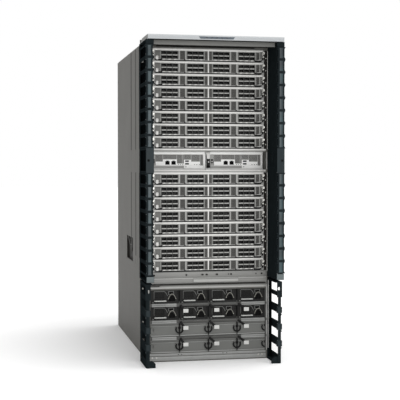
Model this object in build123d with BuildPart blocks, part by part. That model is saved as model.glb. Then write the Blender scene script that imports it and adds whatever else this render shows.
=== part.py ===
"""Modular chassis switch: a tall rack chassis with sixteen line modules in two banks, two half-width
supervisors between them, four rows of power bays, a hood, and cable frames at both sides.

X runs to the right, Y from the front to the back and Z up, in millimetres. The origin is on the floor,
in the middle of the whole object's width and depth.
"""
from build123d import *
from math import cos, radians, sin
import os

# Driving dimensions, in millimetres
rack_unit = 44.45
chassis_width = 439.0
chassis_depth = 889.0
chassis_height = 1150.6
side_wall = 3.0
shelf_sheet = 1.2

# Heights of the front sections, counted up from the floor
base_height = 30.5
supply_height = 47.5
supply_shelf = 12.2
power_roof = 4.9
beam_height = 60.2
supervisor_bay = 84.6
lower_deck = 10.5
upper_deck = 8.4
modules_per_bank = 8
supply_rows = 4
supply_columns = 4

# Widths of what slides in
module_width = 412.0
module_clearance = 0.6
post_gap = 1.5
supervisor_gap = 2.0
supervisor_side_gap = 2.0
supervisor_recess = 50.0
supply_pitch = 106.0
supply_width = 103.0
supply_divider = 2.0

# Depths, counted back from the module faces
module_depth = 520.0
supply_depth = 370.0
blank_depth = 60.0
midplane_thickness = 5.0
connector_strip = 8.0
fabric_depth = 190.0
fan_tray_depth = 130.0
faceplate = 14.0
port_depth = 12.0

# What stands in front of the module faces, or behind the chassis
hood_reach = 144.5
upper_frame_reach = 134.0
lower_frame_reach = 110.0
rear_handle_reach = 24.0
flange_depth = 38.0
flange_thickness = 2.0
flange_width = 482.6

# Sheets and bars of the cable frames
frame_sheet = 2.5
ring_sheet = 3.0
ring_outer = 244.5
ring_rib = 5.5
ring_gap = 1.2
ring_front = 14.0
ring_rear = 19.0
post_inner = 222.0
post_flare = 3.8
window_height = 30.0

# Line module face
port_width = 18.4
port_height = 8.6
port_pitch = 20.5
port_rows_apart = 15.7
port_top_offset = 14.2
port_group_pitch = 94.0
port_groups = 4
ports_across = 3

# Fans
fan_radius = 86.0
fan_tip_gap = 4.0
fan_hub_radius = 40.0
fan_shaft_radius = 6.0
shaft_clearance = 0.05
fan_blades = 5
blade_pitch_deg = 32.0
blade_chord = 44.0
blade_thickness = 2.4
tray_count = 3

# Supervisor lever
lever_width = 12.0
lever_length = 54.0
lever_thickness = 8.0
lever_pin_radius = 2.0
lever_ear = 1.5

# Rack bolt holes, in the flanges at both sides
rack_hole_spacing = 465.1
rack_hole_radius = 3.4
bolt_access_width = 12.0

# Hood
hood_half = 240.5
hood_face = 16.3
hood_sheet = 2.0
indicator_thickness = 0.8

# Side handles
handle_length = 179.0
handle_height = 93.0
handle_front = 396.0
handle_rise = 3.8
handle_pan_depth = 11.0
handle_sheet = 1.5

# Derived positions
half_width = chassis_width / 2
inner_half = half_width - side_wall
front_reach = hood_reach + indicator_thickness
front = -(chassis_depth + rear_handle_reach - front_reach) / 2
supply_row_pitch = supply_height + supply_shelf
power_top = base_height + supply_rows * supply_row_pitch - supply_shelf
beam_bottom = power_top + power_roof
module_floor = beam_bottom + beam_height
supervisor_floor = module_floor + modules_per_bank * rack_unit
upper_floor = supervisor_floor + supervisor_bay
supervisor_bottom = supervisor_floor + lower_deck
supervisor_top = upper_floor - upper_deck
module_top = upper_floor + modules_per_bank * rack_unit
module_height = rack_unit - shelf_sheet - module_clearance
midplane_front = module_depth + 20.0
fabric_front = midplane_front + midplane_thickness
tray_front = chassis_depth - fan_tray_depth
tray_height = (module_top - module_floor) / tray_count
ring_half = ring_outer - ring_sheet
hood_bottom = chassis_height - hood_face
handle_bottom = module_floor + handle_rise
rack_rows = [base_height + rack_unit, module_top - rack_unit]
lower_floors = [module_floor + k * rack_unit for k in range(modules_per_bank)]
upper_floors = [upper_floor + k * rack_unit for k in range(modules_per_bank)]
slot_floors = sorted(lower_floors + upper_floors, reverse=True)
supply_columns_x = [(k - (supply_columns - 1) / 2) * supply_pitch for k in range(supply_columns)]
supply_floors = [base_height + k * supply_row_pitch for k in reversed(range(supply_rows))]
divider_x = [(k - supply_columns / 2) * supply_pitch for k in range(1, supply_columns)]

finished = {}


def upright(back):
    """Plane that faces the front, at a distance back from the module faces. Its own axes are X and Z."""
    return Plane(origin=(0, front + back, 0), x_dir=(1, 0, 0), z_dir=(0, -1, 0))


def lengthwise(x):
    """Plane that faces +X at x. Its own axes are Y, counted from the module faces, and Z."""
    return Plane(origin=(x, front, 0), x_dir=(0, 1, 0), z_dir=(1, 0, 0))


def level(height):
    """Plane that faces up at a height. Its own axes are X and Y, counted from the module faces."""
    return Plane(origin=(0, front, height), x_dir=(1, 0, 0), z_dir=(0, 0, 1))


def block(x, y, z, mode=Mode.ADD):
    """Box between low and high limits along X, Y (from the module faces) and Z, in the part being built."""
    middle = (sum(x) / 2, front + sum(y) / 2, sum(z) / 2)
    with Locations(middle):
        Box(x[1] - x[0], y[1] - y[0], z[1] - z[0], mode=mode)


def panel(x, z, mode=Mode.ADD):
    """Rectangle between low and high limits along X and Z, in the upright sketch being drawn."""
    with Locations((sum(x) / 2, sum(z) / 2)):
        Rectangle(x[1] - x[0], z[1] - z[0], mode=mode)


def span(side, near, far):
    """Limits along X of what lies between two distances from the middle, on the side -1 or 1."""
    return tuple(sorted((side * near, side * far)))


def rack_holes(side, heights, back, thickness):
    """Bolt holes of one rack flange, drilled to the rear through a sheet that starts at a distance back."""
    spots = [(side * rack_hole_spacing / 2, height) for height in heights]
    with Locations(upright(back)):
        with Locations(*spots):
            Hole(rack_hole_radius, depth=thickness)


def bolt_access(side, height):
    """Square opening around a rack bolt, through the rear sheet of a cable frame."""
    half = bolt_access_width / 2
    middle = side * rack_hole_spacing / 2
    sheet = (flange_depth - frame_sheet, flange_depth)
    block((middle - half, middle + half), sheet, (height - half, height + half), Mode.SUBTRACT)


def finish(name, piece):
    """Label a finished piece and keep it for export under its node name."""
    piece.label = name
    finished[name] = piece


# Chassis shell: side walls, decks, card guides, front posts and rack flanges
def shell_section():
    """Cross-section of the chassis, open where its bays run from front to back."""
    panel((-half_width, half_width), (0, chassis_height))
    inside = (-inner_half, inner_half)
    bays = [
        (side_wall, base_height - side_wall),
        (base_height, power_top),
        (beam_bottom, module_floor - shelf_sheet),
        (module_floor, module_top),
        (module_top + side_wall, chassis_height - side_wall),
    ]
    for bay in bays:
        panel(inside, bay, Mode.SUBTRACT)


guide_reach = 18.5
post_depth = 12.0
post_inner_half = module_width / 2 + post_gap
groove_depth = 1.0
groove_width = 2.0
side_grooves = [267.0, 322.0, 434.0]
rear_step_start = 836.0
deck_depth = midplane_front - connector_strip

with BuildPart() as chassis_shell:
    with BuildSketch(upright(0)):
        shell_section()
    extrude(amount=-chassis_depth)
    # Sill and header close the front of the base and of the top duct
    block((-inner_half, inner_half), (0, side_wall), (side_wall, base_height - side_wall))
    header_span = (module_top + side_wall, chassis_height - side_wall)
    block((-inner_half, inner_half), (0, side_wall), header_span)
    # Full-width decks above and below the supervisors
    decks = [(supervisor_floor, supervisor_bottom), (supervisor_top, upper_floor + shelf_sheet)]
    for deck in decks:
        block((-inner_half, inner_half), (0, deck_depth), deck)
    for side in (-1, 1):
        # Front posts beside the modules of both banks
        for bank in ((module_floor, supervisor_floor), (upper_floor, module_top)):
            block(span(side, post_inner_half, inner_half), (0, post_depth), bank)
        # One card guide for each slot that has no deck under it
        for floor in lower_floors + upper_floors:
            guide_top = floor + shelf_sheet
            guide = span(side, inner_half - guide_reach, inner_half)
            if floor != upper_floor:
                block(guide, (2, deck_depth), (floor, guide_top))
        # Rack flange, behind the cable frames
        flange = span(side, half_width, flange_width / 2)
        block(flange, (flange_depth, flange_depth + flange_thickness), (0, chassis_height))
        # Seams and the stepped rear edge of the side wall
        skin = span(side, half_width - groove_depth, half_width)
        for seam in side_grooves:
            seam_span = (seam, seam + groove_width)
            block(skin, seam_span, (module_floor, chassis_height), Mode.SUBTRACT)
        block(skin, (rear_step_start, chassis_depth), (0, chassis_height), Mode.SUBTRACT)
        # Opening for the handle pan, cut through the wall and through the guides behind it
        pocket_x = span(side, half_width - handle_pan_depth - 1, half_width)
        pocket_y = (handle_front, handle_front + handle_length)
        block(pocket_x, pocket_y, (handle_bottom, handle_bottom + handle_height), Mode.SUBTRACT)
        rack_holes(side, rack_rows, flange_depth, flange_thickness)
        # Runners that carry the fan trays
        for number in range(tray_count):
            floor = module_floor + number * tray_height
            runner = span(side, inner_half - guide_reach, inner_half)
            block(runner, (tray_front, chassis_depth), (floor, floor + shelf_sheet))
finish("chassis_shell", chassis_shell.part)


# Side handles: a pan in each side wall with a slanting lifting strap
def side_handle(side):
    """Open pan that closes the opening in the side wall, with a strap across it."""
    low_y = handle_front
    high_y = handle_front + handle_length
    low_z = handle_bottom
    high_z = handle_bottom + handle_height
    outer = half_width - groove_depth
    with BuildPart() as side_pan:
        pan = span(side, half_width - handle_pan_depth, outer)
        block(pan, (low_y, high_y), (low_z, high_z))
        hollow = span(side, half_width - handle_pan_depth + handle_sheet, outer)
        inset = (low_y + handle_sheet, high_y - handle_sheet)
        block(hollow, inset, (low_z + handle_sheet, high_z - handle_sheet), Mode.SUBTRACT)
        with BuildSketch(lengthwise(side * outer)):
            with BuildLine():
                Polyline(
                    (low_y, low_z + 8),
                    (low_y, low_z + 30),
                    (high_y - 40, high_z),
                    (high_y - 12, high_z),
                    close=True,
                )
            make_face()
        extrude(amount=-side * handle_sheet * 2)
    return side_pan.part


for side, name in ((-1, "side_handle_left"), (1, "side_handle_right")):
    finish(name, side_handle(side))

# Hood: folded cover over the front, with cheeks that reach back beside the chassis
hood_outline = [
    (-hood_reach, hood_bottom),
    (-hood_reach, chassis_height - 4.6),
    (-hood_reach + 5.5, chassis_height),
    (-12, chassis_height),
    (8, chassis_height - 9.6),
    (flange_depth, chassis_height - 14),
    (flange_depth, hood_bottom),
]
with BuildPart() as top_hood:
    with BuildSketch(lengthwise(-hood_half)):
        with BuildLine():
            Polyline(*hood_outline, close=True)
        make_face()
    extrude(amount=2 * hood_half)
    # Hollow under the roof, and the space that the chassis takes up
    hollow_outline = [
        (-hood_reach + hood_sheet, hood_bottom),
        (-hood_reach + hood_sheet, chassis_height - 5.4),
        (-hood_reach + 6.3, chassis_height - hood_sheet),
        (0, chassis_height - hood_sheet),
        (0, hood_bottom),
    ]
    with BuildSketch(lengthwise(-hood_half + hood_sheet)):
        with BuildLine():
            Polyline(*hollow_outline, close=True)
        make_face()
    extrude(amount=2 * (hood_half - hood_sheet), mode=Mode.SUBTRACT)
    block((-half_width, half_width), (0, flange_depth), (hood_bottom, chassis_height), Mode.SUBTRACT)
    # Roof between the cheeks runs back to the chassis front
    roof = (chassis_height - hood_sheet, chassis_height)
    block((-half_width, half_width), (-12, 0), roof)
finish("top_hood", top_hood.part)

# Indicator panel: a tapered plate on the hood's face with five small windows
indicator_half = 63.6
indicator_taper = 6.0
indicator_bottom = hood_bottom + 3.2
indicator_top = chassis_height - 5.2
window_count = 5
with BuildPart() as indicator_panel:
    with BuildSketch(upright(-hood_reach)):
        with BuildLine():
            Polyline(
                (-indicator_half, indicator_top),
                (indicator_half, indicator_top),
                (indicator_half - indicator_taper, indicator_bottom),
                (-indicator_half + indicator_taper, indicator_bottom),
                close=True,
            )
        make_face()
        with Locations((0, (indicator_top + indicator_bottom) / 2)):
            with GridLocations(18, 1, window_count, 1):
                Rectangle(5, 3, mode=Mode.SUBTRACT)
    extrude(amount=indicator_thickness)
finish("hood_indicator_panel", indicator_panel.part)


# Upper cable frame: folded channel beside the chassis with one moulded ring at each slot
def ring_front_bar(side, low, high):
    """Front bar of a cable ring, shaped like a spool: narrow in the middle and flared at both ends."""
    taper = 8.0
    inner = post_inner
    outer = ring_outer
    with BuildSketch(upright(-upper_frame_reach)) as bar:
        with BuildLine():
            Polyline(
                (side * (inner - post_flare), low),
                (side * (outer + post_flare), low),
                (side * outer, low + taper),
                (side * outer, high - taper),
                (side * (outer + post_flare), high),
                (side * (inner - post_flare), high),
                (side * inner, high - taper),
                (side * inner, low + taper),
                close=True,
            )
        make_face()
    extrude(bar.sketch, amount=-ring_front)


def cable_ring(side, low, high):
    """Ring that keeps one slot's cables: a front bar and two ribs that run back to the channel."""
    rib_length = (-upper_frame_reach + ring_front, flange_depth - ring_rear)
    with BuildPart() as ring:
        ring_front_bar(side, low, high)
        for rib in ((low, low + ring_rib), (high - ring_rib, high)):
            block(span(side, ring_half, ring_outer), rib_length, rib)
    return ring.part


frame_drop = 22.2
guard_bore_radius = 4.5
bore_sides = 12
end_block_height = 21.0
end_plate = 4.0
frame_bottom = module_floor - frame_drop


def supervisor_guard(side):
    """Wide plate in front of the supervisors, with a round hole, and a windowed side beside them."""
    low = supervisor_floor + ring_gap / 2
    high = upper_floor - ring_gap / 2
    middle = (low + high) / 2
    with BuildPart() as guard:
        with BuildSketch(upright(-upper_frame_reach)):
            panel(span(side, post_inner - post_flare, ring_outer + 1), (low, high))
            with Locations((side * 237.0, middle)):
                RegularPolygon(guard_bore_radius, bore_sides, mode=Mode.SUBTRACT)
        extrude(amount=-ring_sheet)
        side_length = (-upper_frame_reach + ring_sheet, flange_depth - ring_rear)
        block(span(side, ring_half, ring_outer), side_length, (low, high))
        # Window in the side, between ribs as tall as those of the rings
        window = (low + ring_rib, high - ring_rib)
        window_length = (-upper_frame_reach + ring_front, flange_depth - ring_rear)
        block(span(side, ring_half, ring_outer), window_length, window, Mode.SUBTRACT)
    return guard.part


def upper_frame(side):
    """Channel and end plates as one sheet part, with the rings and the guard seated on it."""
    with BuildPart() as channel:
        wall_span = span(side, half_width, half_width + frame_sheet)
        wall_length = (-upper_frame_reach + ring_front, flange_depth)
        block(wall_span, wall_length, (frame_bottom, hood_bottom))
        # Two upright slots beside the supervisors
        for start in (-88.0, -48.0):
            slot_z = (supervisor_floor + 22, upper_floor - 18)
            block(wall_span, (start, start + 12), slot_z, Mode.SUBTRACT)
        back = span(side, half_width, ring_outer)
        block(back, (flange_depth - frame_sheet, flange_depth), (frame_bottom, hood_bottom))
        # Strip on the outer side, against which all the ribs end
        strip = span(side, ring_half, ring_outer)
        block(strip, (flange_depth - ring_rear, flange_depth), (frame_bottom, hood_bottom))
        for low in (frame_bottom, hood_bottom - end_plate):
            cap = span(side, half_width, ring_outer)
            block(cap, (-upper_frame_reach + ring_front, flange_depth), (low, low + end_plate))
        # Head and foot blocks that end the row of rings
        head = (module_top + ring_gap / 2, hood_bottom)
        foot = (frame_bottom, frame_bottom + end_block_height)
        for block_span in (head, foot):
            width = span(side, post_inner - post_flare, ring_outer)
            length = (-upper_frame_reach, -upper_frame_reach + ring_front)
            block(width, length, block_span)
        bolt_access(side, rack_rows[1])
    solids = [channel.part]
    for floor in slot_floors:
        solids.append(cable_ring(side, floor + ring_gap / 2, floor + rack_unit - ring_gap / 2))
    solids.append(supervisor_guard(side))
    return Compound(children=solids)


for side, name in ((-1, "cable_frame_upper_left"), (1, "cable_frame_upper_right")):
    finish(name, upper_frame(side))

# Lower cable frame: one folded part with five windows, a bored front post and a stepped foot
lower_outer = 242.4
frame_split = 8.0
window_rise = 10.5
foot_height = 23.0
foot_inner = 209.0
post_bore_drop = 25.5
post_bore_radius = 6.0
post_bore_x = 234.3
lower_post_inner = 230.0
lug_inner = 226.5
lug_outer = 244.9
lug_height = 20.0
lug_depth = 10.0
head_height = 56.0
lower_top = frame_bottom - frame_split
row_centres = [floor + window_rise for floor in supply_floors]
window_centres = row_centres + [power_top + 9.0]
lug_centres = [(row_centres[k] + row_centres[k + 1]) / 2 for k in range(supply_rows - 1)]


def lower_frame(side):
    """Side plate with windows, folded in at the front to a post and at the back to a bracket."""
    plate_front = -lower_frame_reach
    with BuildPart() as frame:
        with BuildSketch(level(0)):
            with BuildLine():
                Polyline(
                    (side * half_width, flange_depth),
                    (side * lower_outer, flange_depth),
                    (side * lower_outer, plate_front + 5),
                    (side * (lower_outer - 5), plate_front),
                    (side * lower_post_inner, plate_front),
                    (side * lower_post_inner, plate_front + frame_sheet),
                    (side * (lower_outer - 5.8), plate_front + frame_sheet),
                    (side * (lower_outer - frame_sheet), plate_front + 6),
                    (side * (lower_outer - frame_sheet), flange_depth - frame_sheet),
                    (side * (half_width + frame_sheet), flange_depth - frame_sheet),
                    (side * (half_width + frame_sheet), 0),
                    (side * half_width, 0),
                    close=True,
                )
            make_face()
        extrude(amount=lower_top)
        # Wide head, and lugs between the windows that keep the cords in
        lugs = [(centre - lug_height / 2, centre + lug_height / 2) for centre in lug_centres]
        for lug in lugs:
            block(span(side, lug_inner, lug_outer), (plate_front, plate_front + lug_depth), lug)
        head_depth = (plate_front, plate_front + frame_sheet)
        block(span(side, lug_inner, lug_outer), head_depth, (lower_top - head_height, lower_top))
        for centre in window_centres:
            opening = (centre - window_height / 2, centre + window_height / 2)
            sheet = span(side, lower_outer - frame_sheet - 1, lower_outer + 1)
            block(sheet, (plate_front + 14, flange_depth - ring_rear), opening, Mode.SUBTRACT)
        # Floor plate and rounded foot that steps in towards the sill
        block(span(side, half_width, lower_outer - frame_sheet), (-96, flange_depth - frame_sheet), (0, 3))
        with BuildSketch(upright(plate_front + frame_sheet)):
            with BuildLine():
                Polyline(
                    (side * foot_inner, 0),
                    (side * (lower_outer - frame_sheet), 0),
                    (side * (lower_outer - frame_sheet), foot_height),
                    (side * (foot_inner + 9), foot_height),
                    (side * foot_inner, foot_height - 9),
                    close=True,
                )
            make_face()
        extrude(amount=-12)
        top_cap = (lower_top - end_plate, lower_top)
        cap_length = (plate_front + frame_sheet, flange_depth - frame_sheet)
        block(span(side, half_width, lower_outer - frame_sheet), cap_length, top_cap)
        with BuildSketch(upright(plate_front)):
            with Locations((side * post_bore_x, lower_top - post_bore_drop)):
                RegularPolygon(post_bore_radius, bore_sides)
        extrude(amount=-frame_sheet, mode=Mode.SUBTRACT)
        bolt_access(side, rack_rows[0])
    return frame.part


for side, name in ((-1, "cable_frame_lower_left"), (1, "cable_frame_lower_right")):
    finish(name, lower_frame(side))

# Intake beam: formed cover between the modules and the power bays
beam_half = 216.0
nose_reach = 9.0
rail_reach = 3.0
nose_left = -57.0
nose_right = 110.0
beam_depth = 10.0
beam_outline = [
    (beam_depth, beam_bottom),
    (-rail_reach, beam_bottom),
    (-rail_reach, beam_bottom + 10),
    (0, beam_bottom + 12),
    (0, beam_bottom + 18),
    (-nose_reach, beam_bottom + 22),
    (-nose_reach, beam_bottom + 33),
    (-rail_reach, beam_bottom + 40),
    (-rail_reach, module_floor),
    (0, module_floor),
    (0, module_floor - shelf_sheet),
    (beam_depth, module_floor - shelf_sheet),
]
with BuildPart() as intake_beam:
    with BuildSketch(lengthwise(-beam_half)):
        with BuildLine():
            Polyline(*beam_outline, close=True)
        make_face()
    extrude(amount=2 * beam_half)
    # The nose is lower at both ends
    for ends in ((-beam_half, nose_left), (nose_right, beam_half)):
        relief = (beam_bottom + 18, beam_bottom + 38)
        block(ends, (-nose_reach, -nose_reach + 3), relief, Mode.SUBTRACT)
    # Short slot at the left end
    block((-beam_half, -178), (-rail_reach, 4), (beam_bottom + 7, beam_bottom + 10), Mode.SUBTRACT)
finish("intake_beam", intake_beam.part)

# Power shelf: egg-crate of bays with cord hook stems on its uprights
hook_stem_width = 2.4
hook_stem_height = 30.0
hook_stem_reach = 9.0
with BuildPart() as power_shelf:
    with BuildSketch(upright(0)):
        panel((-inner_half, inner_half), (base_height, power_top))
        for column in supply_columns_x:
            half_bay = (supply_pitch - supply_divider) / 2
            for floor in supply_floors:
                bay = (column - half_bay, column + half_bay)
                panel(bay, (floor, floor + supply_height), Mode.SUBTRACT)
    extrude(amount=-supply_depth)
    # Chamfered nose on each shelf strip
    for floor in supply_floors[1:]:
        strip = (floor + supply_height + 2, floor + supply_row_pitch - 2)
        block((-inner_half, inner_half), (-4, 0), strip)
    for x in divider_x:
        for floor in supply_floors:
            stem = (floor + 8, floor + 8 + hook_stem_height)
            half_stem = hook_stem_width / 2
            block((x - half_stem, x + half_stem), (-hook_stem_reach, 0), stem)
finish("power_shelf", power_shelf.part)

# Rear cover behind the power bays, with upright exhaust slots
exhaust_slots = 12
with BuildPart() as rear_cover:
    with BuildSketch(upright(chassis_depth)):
        panel((-inner_half, inner_half), (base_height, power_top))
        with Locations((0, (base_height + power_top) / 2)):
            with GridLocations(34, 1, exhaust_slots, 1):
                Rectangle(14, power_top - base_height - 40, mode=Mode.SUBTRACT)
    extrude(amount=side_wall)
finish("rear_power_cover", rear_cover.part)

# Midplane: one board between the line modules and the fabric modules, with connector strips
strip_count = 6
strip_pitch = 66.0
with BuildPart() as midplane:
    board_half = module_width / 2
    board_z = (module_floor, module_top)
    strip_y = (midplane_front - connector_strip, midplane_front)
    block((-board_half, board_half), (midplane_front, fabric_front), board_z)
    for k in range(strip_count):
        x = (k - (strip_count - 1) / 2) * strip_pitch
        block((x - 14, x + 14), strip_y, (module_floor + 4, module_top - 4))
finish("midplane", midplane.part)

# Fabric modules: six upright cards behind the midplane
with BuildPart() as fabric_modules:
    for k in range(strip_count):
        x = (k - (strip_count - 1) / 2) * strip_pitch
        card_end = fabric_front + fabric_depth
        block((x - 27, x + 27), (fabric_front, card_end), (module_floor, module_top - 3))
        block((x - 22, x + 22), (card_end, card_end + 8), (module_floor + 40, module_floor + 120))
finish("fabric_modules", fabric_modules.part)

# Fasteners on the beam, the sill and the header
fastener_radius = 3.0
fastener_height = 2.0
beam_screw_height = module_floor - 11.2
sill_screw_height = base_height - 14.5
beam_screws = [(x, beam_screw_height) for x in (-80, -26, -9, 28, 74, 176)]
sill_screws = [(x, sill_screw_height) for x in (-205, -190, 186, 200)]
with BuildPart() as front_fasteners:
    with BuildSketch(upright(-rail_reach)):
        with Locations(*beam_screws):
            RegularPolygon(fastener_radius, 6)
    extrude(amount=fastener_height)
    with BuildSketch(upright(0)):
        with Locations(*sill_screws):
            RegularPolygon(fastener_radius, 6)
    extrude(amount=fastener_height)
finish("front_fasteners", front_fasteners.part)

# Line modules: a faceplate with grouped port sockets, and a closed carrier behind it
carrier_inset = 1.0
connector_depth = midplane_front - connector_strip - module_depth


def port_rows(floor):
    """Middles of the socket rows of a module whose slot starts at a height."""
    upper = floor + rack_unit - port_top_offset
    centres = []
    for group in range(port_groups):
        x = (group - (port_groups - 1) / 2) * port_group_pitch
        centres.append((x, upper))
        centres.append((x, upper - port_rows_apart))
    return centres


def ejector(side, low):
    """Bent ejector arm at one end of a module, from its pivot down to its finger tip."""
    outer = side * (module_width / 2 - 3)
    inner = outer - side * 5
    tip = outer - side * 36
    with BuildSketch(upright(0)) as arm:
        with BuildLine():
            Polyline(
                (outer, low + 30),
                (outer, low + 10),
                (outer - side * 8, low + 1.5),
                (tip, low + 1.5),
                (tip, low + 5.5),
                (inner, low + 12),
                (inner, low + 30),
                close=True,
            )
        make_face()
    extrude(arm.sketch, amount=7)


def line_module(floor):
    """One line module resting on its guides, with its face flush with the chassis front."""
    low = floor + shelf_sheet
    high = low + module_height
    half = module_width / 2
    with BuildPart() as module:
        block((-half, half), (0, faceplate), (low, high))
        carrier = (-half + carrier_inset, half - carrier_inset)
        block(carrier, (faceplate, module_depth), (low, high - 3))
        connector_half = (strip_count - 1) / 2 * strip_pitch + 12
        back = (module_depth, module_depth + connector_depth)
        block((-connector_half, connector_half), back, (low + 8, high - 8))
        row_width = (ports_across - 1) * port_pitch + port_width
        with BuildSketch(upright(0)):
            with Locations(*port_rows(floor)):
                Rectangle(row_width, port_height)
        extrude(amount=-port_depth, mode=Mode.SUBTRACT)
        # Light lip along the top edge of the face
        block((-half + 14, half - 14), (-2.5, 0), (high - 4.5, high))
        for side in (-1, 1):
            ejector(side, low)
    return module.part


for number, floor in enumerate(slot_floors, start=1):
    finish(f"io_module_{number:02d}", line_module(floor))

# Supervisors: half-width modules, set back in their bay, with stepped port blocks and one lever each
supervisor_rim = 7.5
supervisor_margin = 29.0
window_low = supervisor_floor + 25.2
window_high = supervisor_top - 10.6
grille_depth = 3.0
rj45 = (15.8, 12.6)
usb = (13.8, 5.4)
pivot_height = supervisor_top - 6.0
pivot_reach = 6.0
lip_height = 4.0
lip_reach = 5.0
ear_rise = 5.0


def supervisor_span(side):
    """Limits along X of the supervisor on one side of the middle."""
    return span(side, supervisor_gap / 2, inner_half - supervisor_side_gap)


def supervisor(side):
    """Half-width module with a rimmed face, two network sockets, two stacked sockets and lever ears."""
    left, right = supervisor_span(side)
    low = supervisor_bottom
    high = supervisor_top - module_clearance
    face = supervisor_recess
    with BuildPart() as body:
        block((left, right), (face, face + faceplate), (low, high))
        inner = (left + carrier_inset, right - carrier_inset)
        block(inner, (face + faceplate, module_depth), (low, high - 3))
        for k in range(3):
            x = left + (k + 0.5) * (right - left) / 3
            back = (module_depth, module_depth + connector_depth)
            block((x - 12, x + 12), back, (low + 8, high - 8))
        # Grille field, recessed inside the rim
        window = (left + supervisor_margin, right - supervisor_rim)
        with BuildSketch(upright(face)):
            panel(window, (window_low, window_high))
        extrude(amount=-grille_depth, mode=Mode.SUBTRACT)
        # Stepped port blocks stand forward from the grille
        steps = [
            (2.0, 28.5, 14.0),
            (28.5, 80.0, 22.0),
            (80.0, 106.0, 7.0),
            (106.0, 132.5, 21.0),
            (132.5, 165.5, 14.0),
        ]
        field = (face, face + grille_depth)
        for start, end, height in steps:
            block((window[0] + start, window[0] + end), field, (window_low, window_low + height))
        block((window[0] + 99, window[0] + 101), field, (window_low, window_high))
        with BuildSketch(upright(face)):
            for centre in (45.3, 67.7):
                with Locations((window[0] + centre, window_low + 3 + rj45[1] / 2)):
                    Rectangle(*rj45)
            for k in range(2):
                with Locations((window[0] + 117.0, window_low + 6.2 + k * 9.6)):
                    Rectangle(*usb)
        extrude(amount=-port_depth, mode=Mode.SUBTRACT)
        # Rolled lips above and below the face, the upper one beside the lever
        lip_left = left + lever_width + 2 * lever_ear + 1.5
        block((lip_left, right), (face - lip_reach, face), (high - lip_height, high))
        block((left, right), (face - lip_reach, face), (low, low + lip_height))
        # Ears and pin that carry the lever
        ear_z = (pivot_height - ear_rise, pivot_height + ear_rise)
        ear_y = (face - pivot_reach - 4, face)
        block((left, left + lever_ear), ear_y, ear_z)
        ear_right = left + lever_ear + lever_width + 0.6
        block((ear_right, ear_right + lever_ear), ear_y, ear_z)
        with BuildSketch(lengthwise(left)):
            with Locations((face - pivot_reach, pivot_height)):
                Circle(lever_pin_radius)
        extrude(amount=lever_width + 2 * lever_ear + 0.6)
    return body.part


def supervisor_lever(side):
    """Ejector lever that hangs from its pin at the top and swings out at the bottom."""
    left, _ = supervisor_span(side)
    near = supervisor_recess - pivot_reach - lever_thickness / 2
    far = near + lever_thickness
    tip = pivot_height - lever_length
    with BuildPart() as lever:
        with BuildSketch(lengthwise(left + lever_ear + 0.3)):
            with BuildLine():
                Polyline(
                    (near, pivot_height + 3),
                    (near + 2, pivot_height + 4.2),
                    (far - 2, pivot_height + 4.2),
                    (far, pivot_height + 3),
                    (far, tip + 6),
                    (far - 3, tip),
                    (near - 4, tip),
                    (near - 4, tip + 3),
                    (near, tip + 9),
                    close=True,
                )
            make_face()
            with Locations((supervisor_recess - pivot_reach, pivot_height)):
                Circle(lever_pin_radius + shaft_clearance, mode=Mode.SUBTRACT)
        extrude(amount=lever_width)
    return lever.part


for side, word in ((-1, "left"), (1, "right")):
    finish(f"supervisor_{word}", supervisor(side))
    finish(f"supervisor_lever_{word}", supervisor_lever(side))

# Cord hook arms, one at each side edge of a supply or blank
hook_arm_reach = 11.0
hook_arm_drop = 17.0


def hook_arms(column, floor, sides):
    """Curved arms that come down from beside the uprights, standing off the face."""
    for side in sides:
        edge = column + side * (supply_width / 2 - 1.2)
        top = floor + 38.0
        with BuildSketch(upright(0)) as arm:
            with BuildLine():
                Polyline(
                    (edge, top),
                    (edge - side * hook_arm_reach, top - 7),
                    (edge - side * hook_arm_reach, top - hook_arm_drop),
                )
            trace(line_width=2.4)
        extrude(arm.sketch, amount=5)


# Power supplies: a long closed module with an inlet, a wire bail and a handle bar
supply_clearance = 0.5
bail_width = 27.0
bail_height = 15.0


def power_supply(column, floor):
    """One supply in its bay, with a recessed panel, an inlet and a handle bar on its face."""
    half = supply_width / 2
    low = floor
    high = floor + supply_height - supply_clearance
    with BuildPart() as supply:
        block((column - half, column + half), (0, supply_depth - 20), (low, high))
        # Recessed exhaust panel at the upper left
        recess = (column - half + 14, column - half + 50)
        block(recess, (0, 6), (high - 30, high - 6), Mode.SUBTRACT)
        # Inlet socket under the bail
        inlet_x = column + 26.0
        block((inlet_x - 12, inlet_x + 12), (0, 14), (low + 8, low + 26), Mode.SUBTRACT)
        with BuildSketch(upright(0)):
            with BuildLine():
                Polyline(
                    (inlet_x - bail_width / 2, low + 14),
                    (inlet_x - 5, low + 14 + bail_height),
                    (inlet_x + 5, low + 14 + bail_height),
                    (inlet_x + bail_width / 2, low + 14),
                )
            trace(line_width=1.8)
        extrude(amount=3)
        # Handle bar on two short stands
        block((column - 32, column + 6), (-14, -10), (low + 3, low + 8))
        block((column - 32, column - 29), (-10, 0), (low + 3, low + 8))
        block((column + 3, column + 6), (-10, 0), (low + 3, low + 8))
    return supply.part


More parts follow.
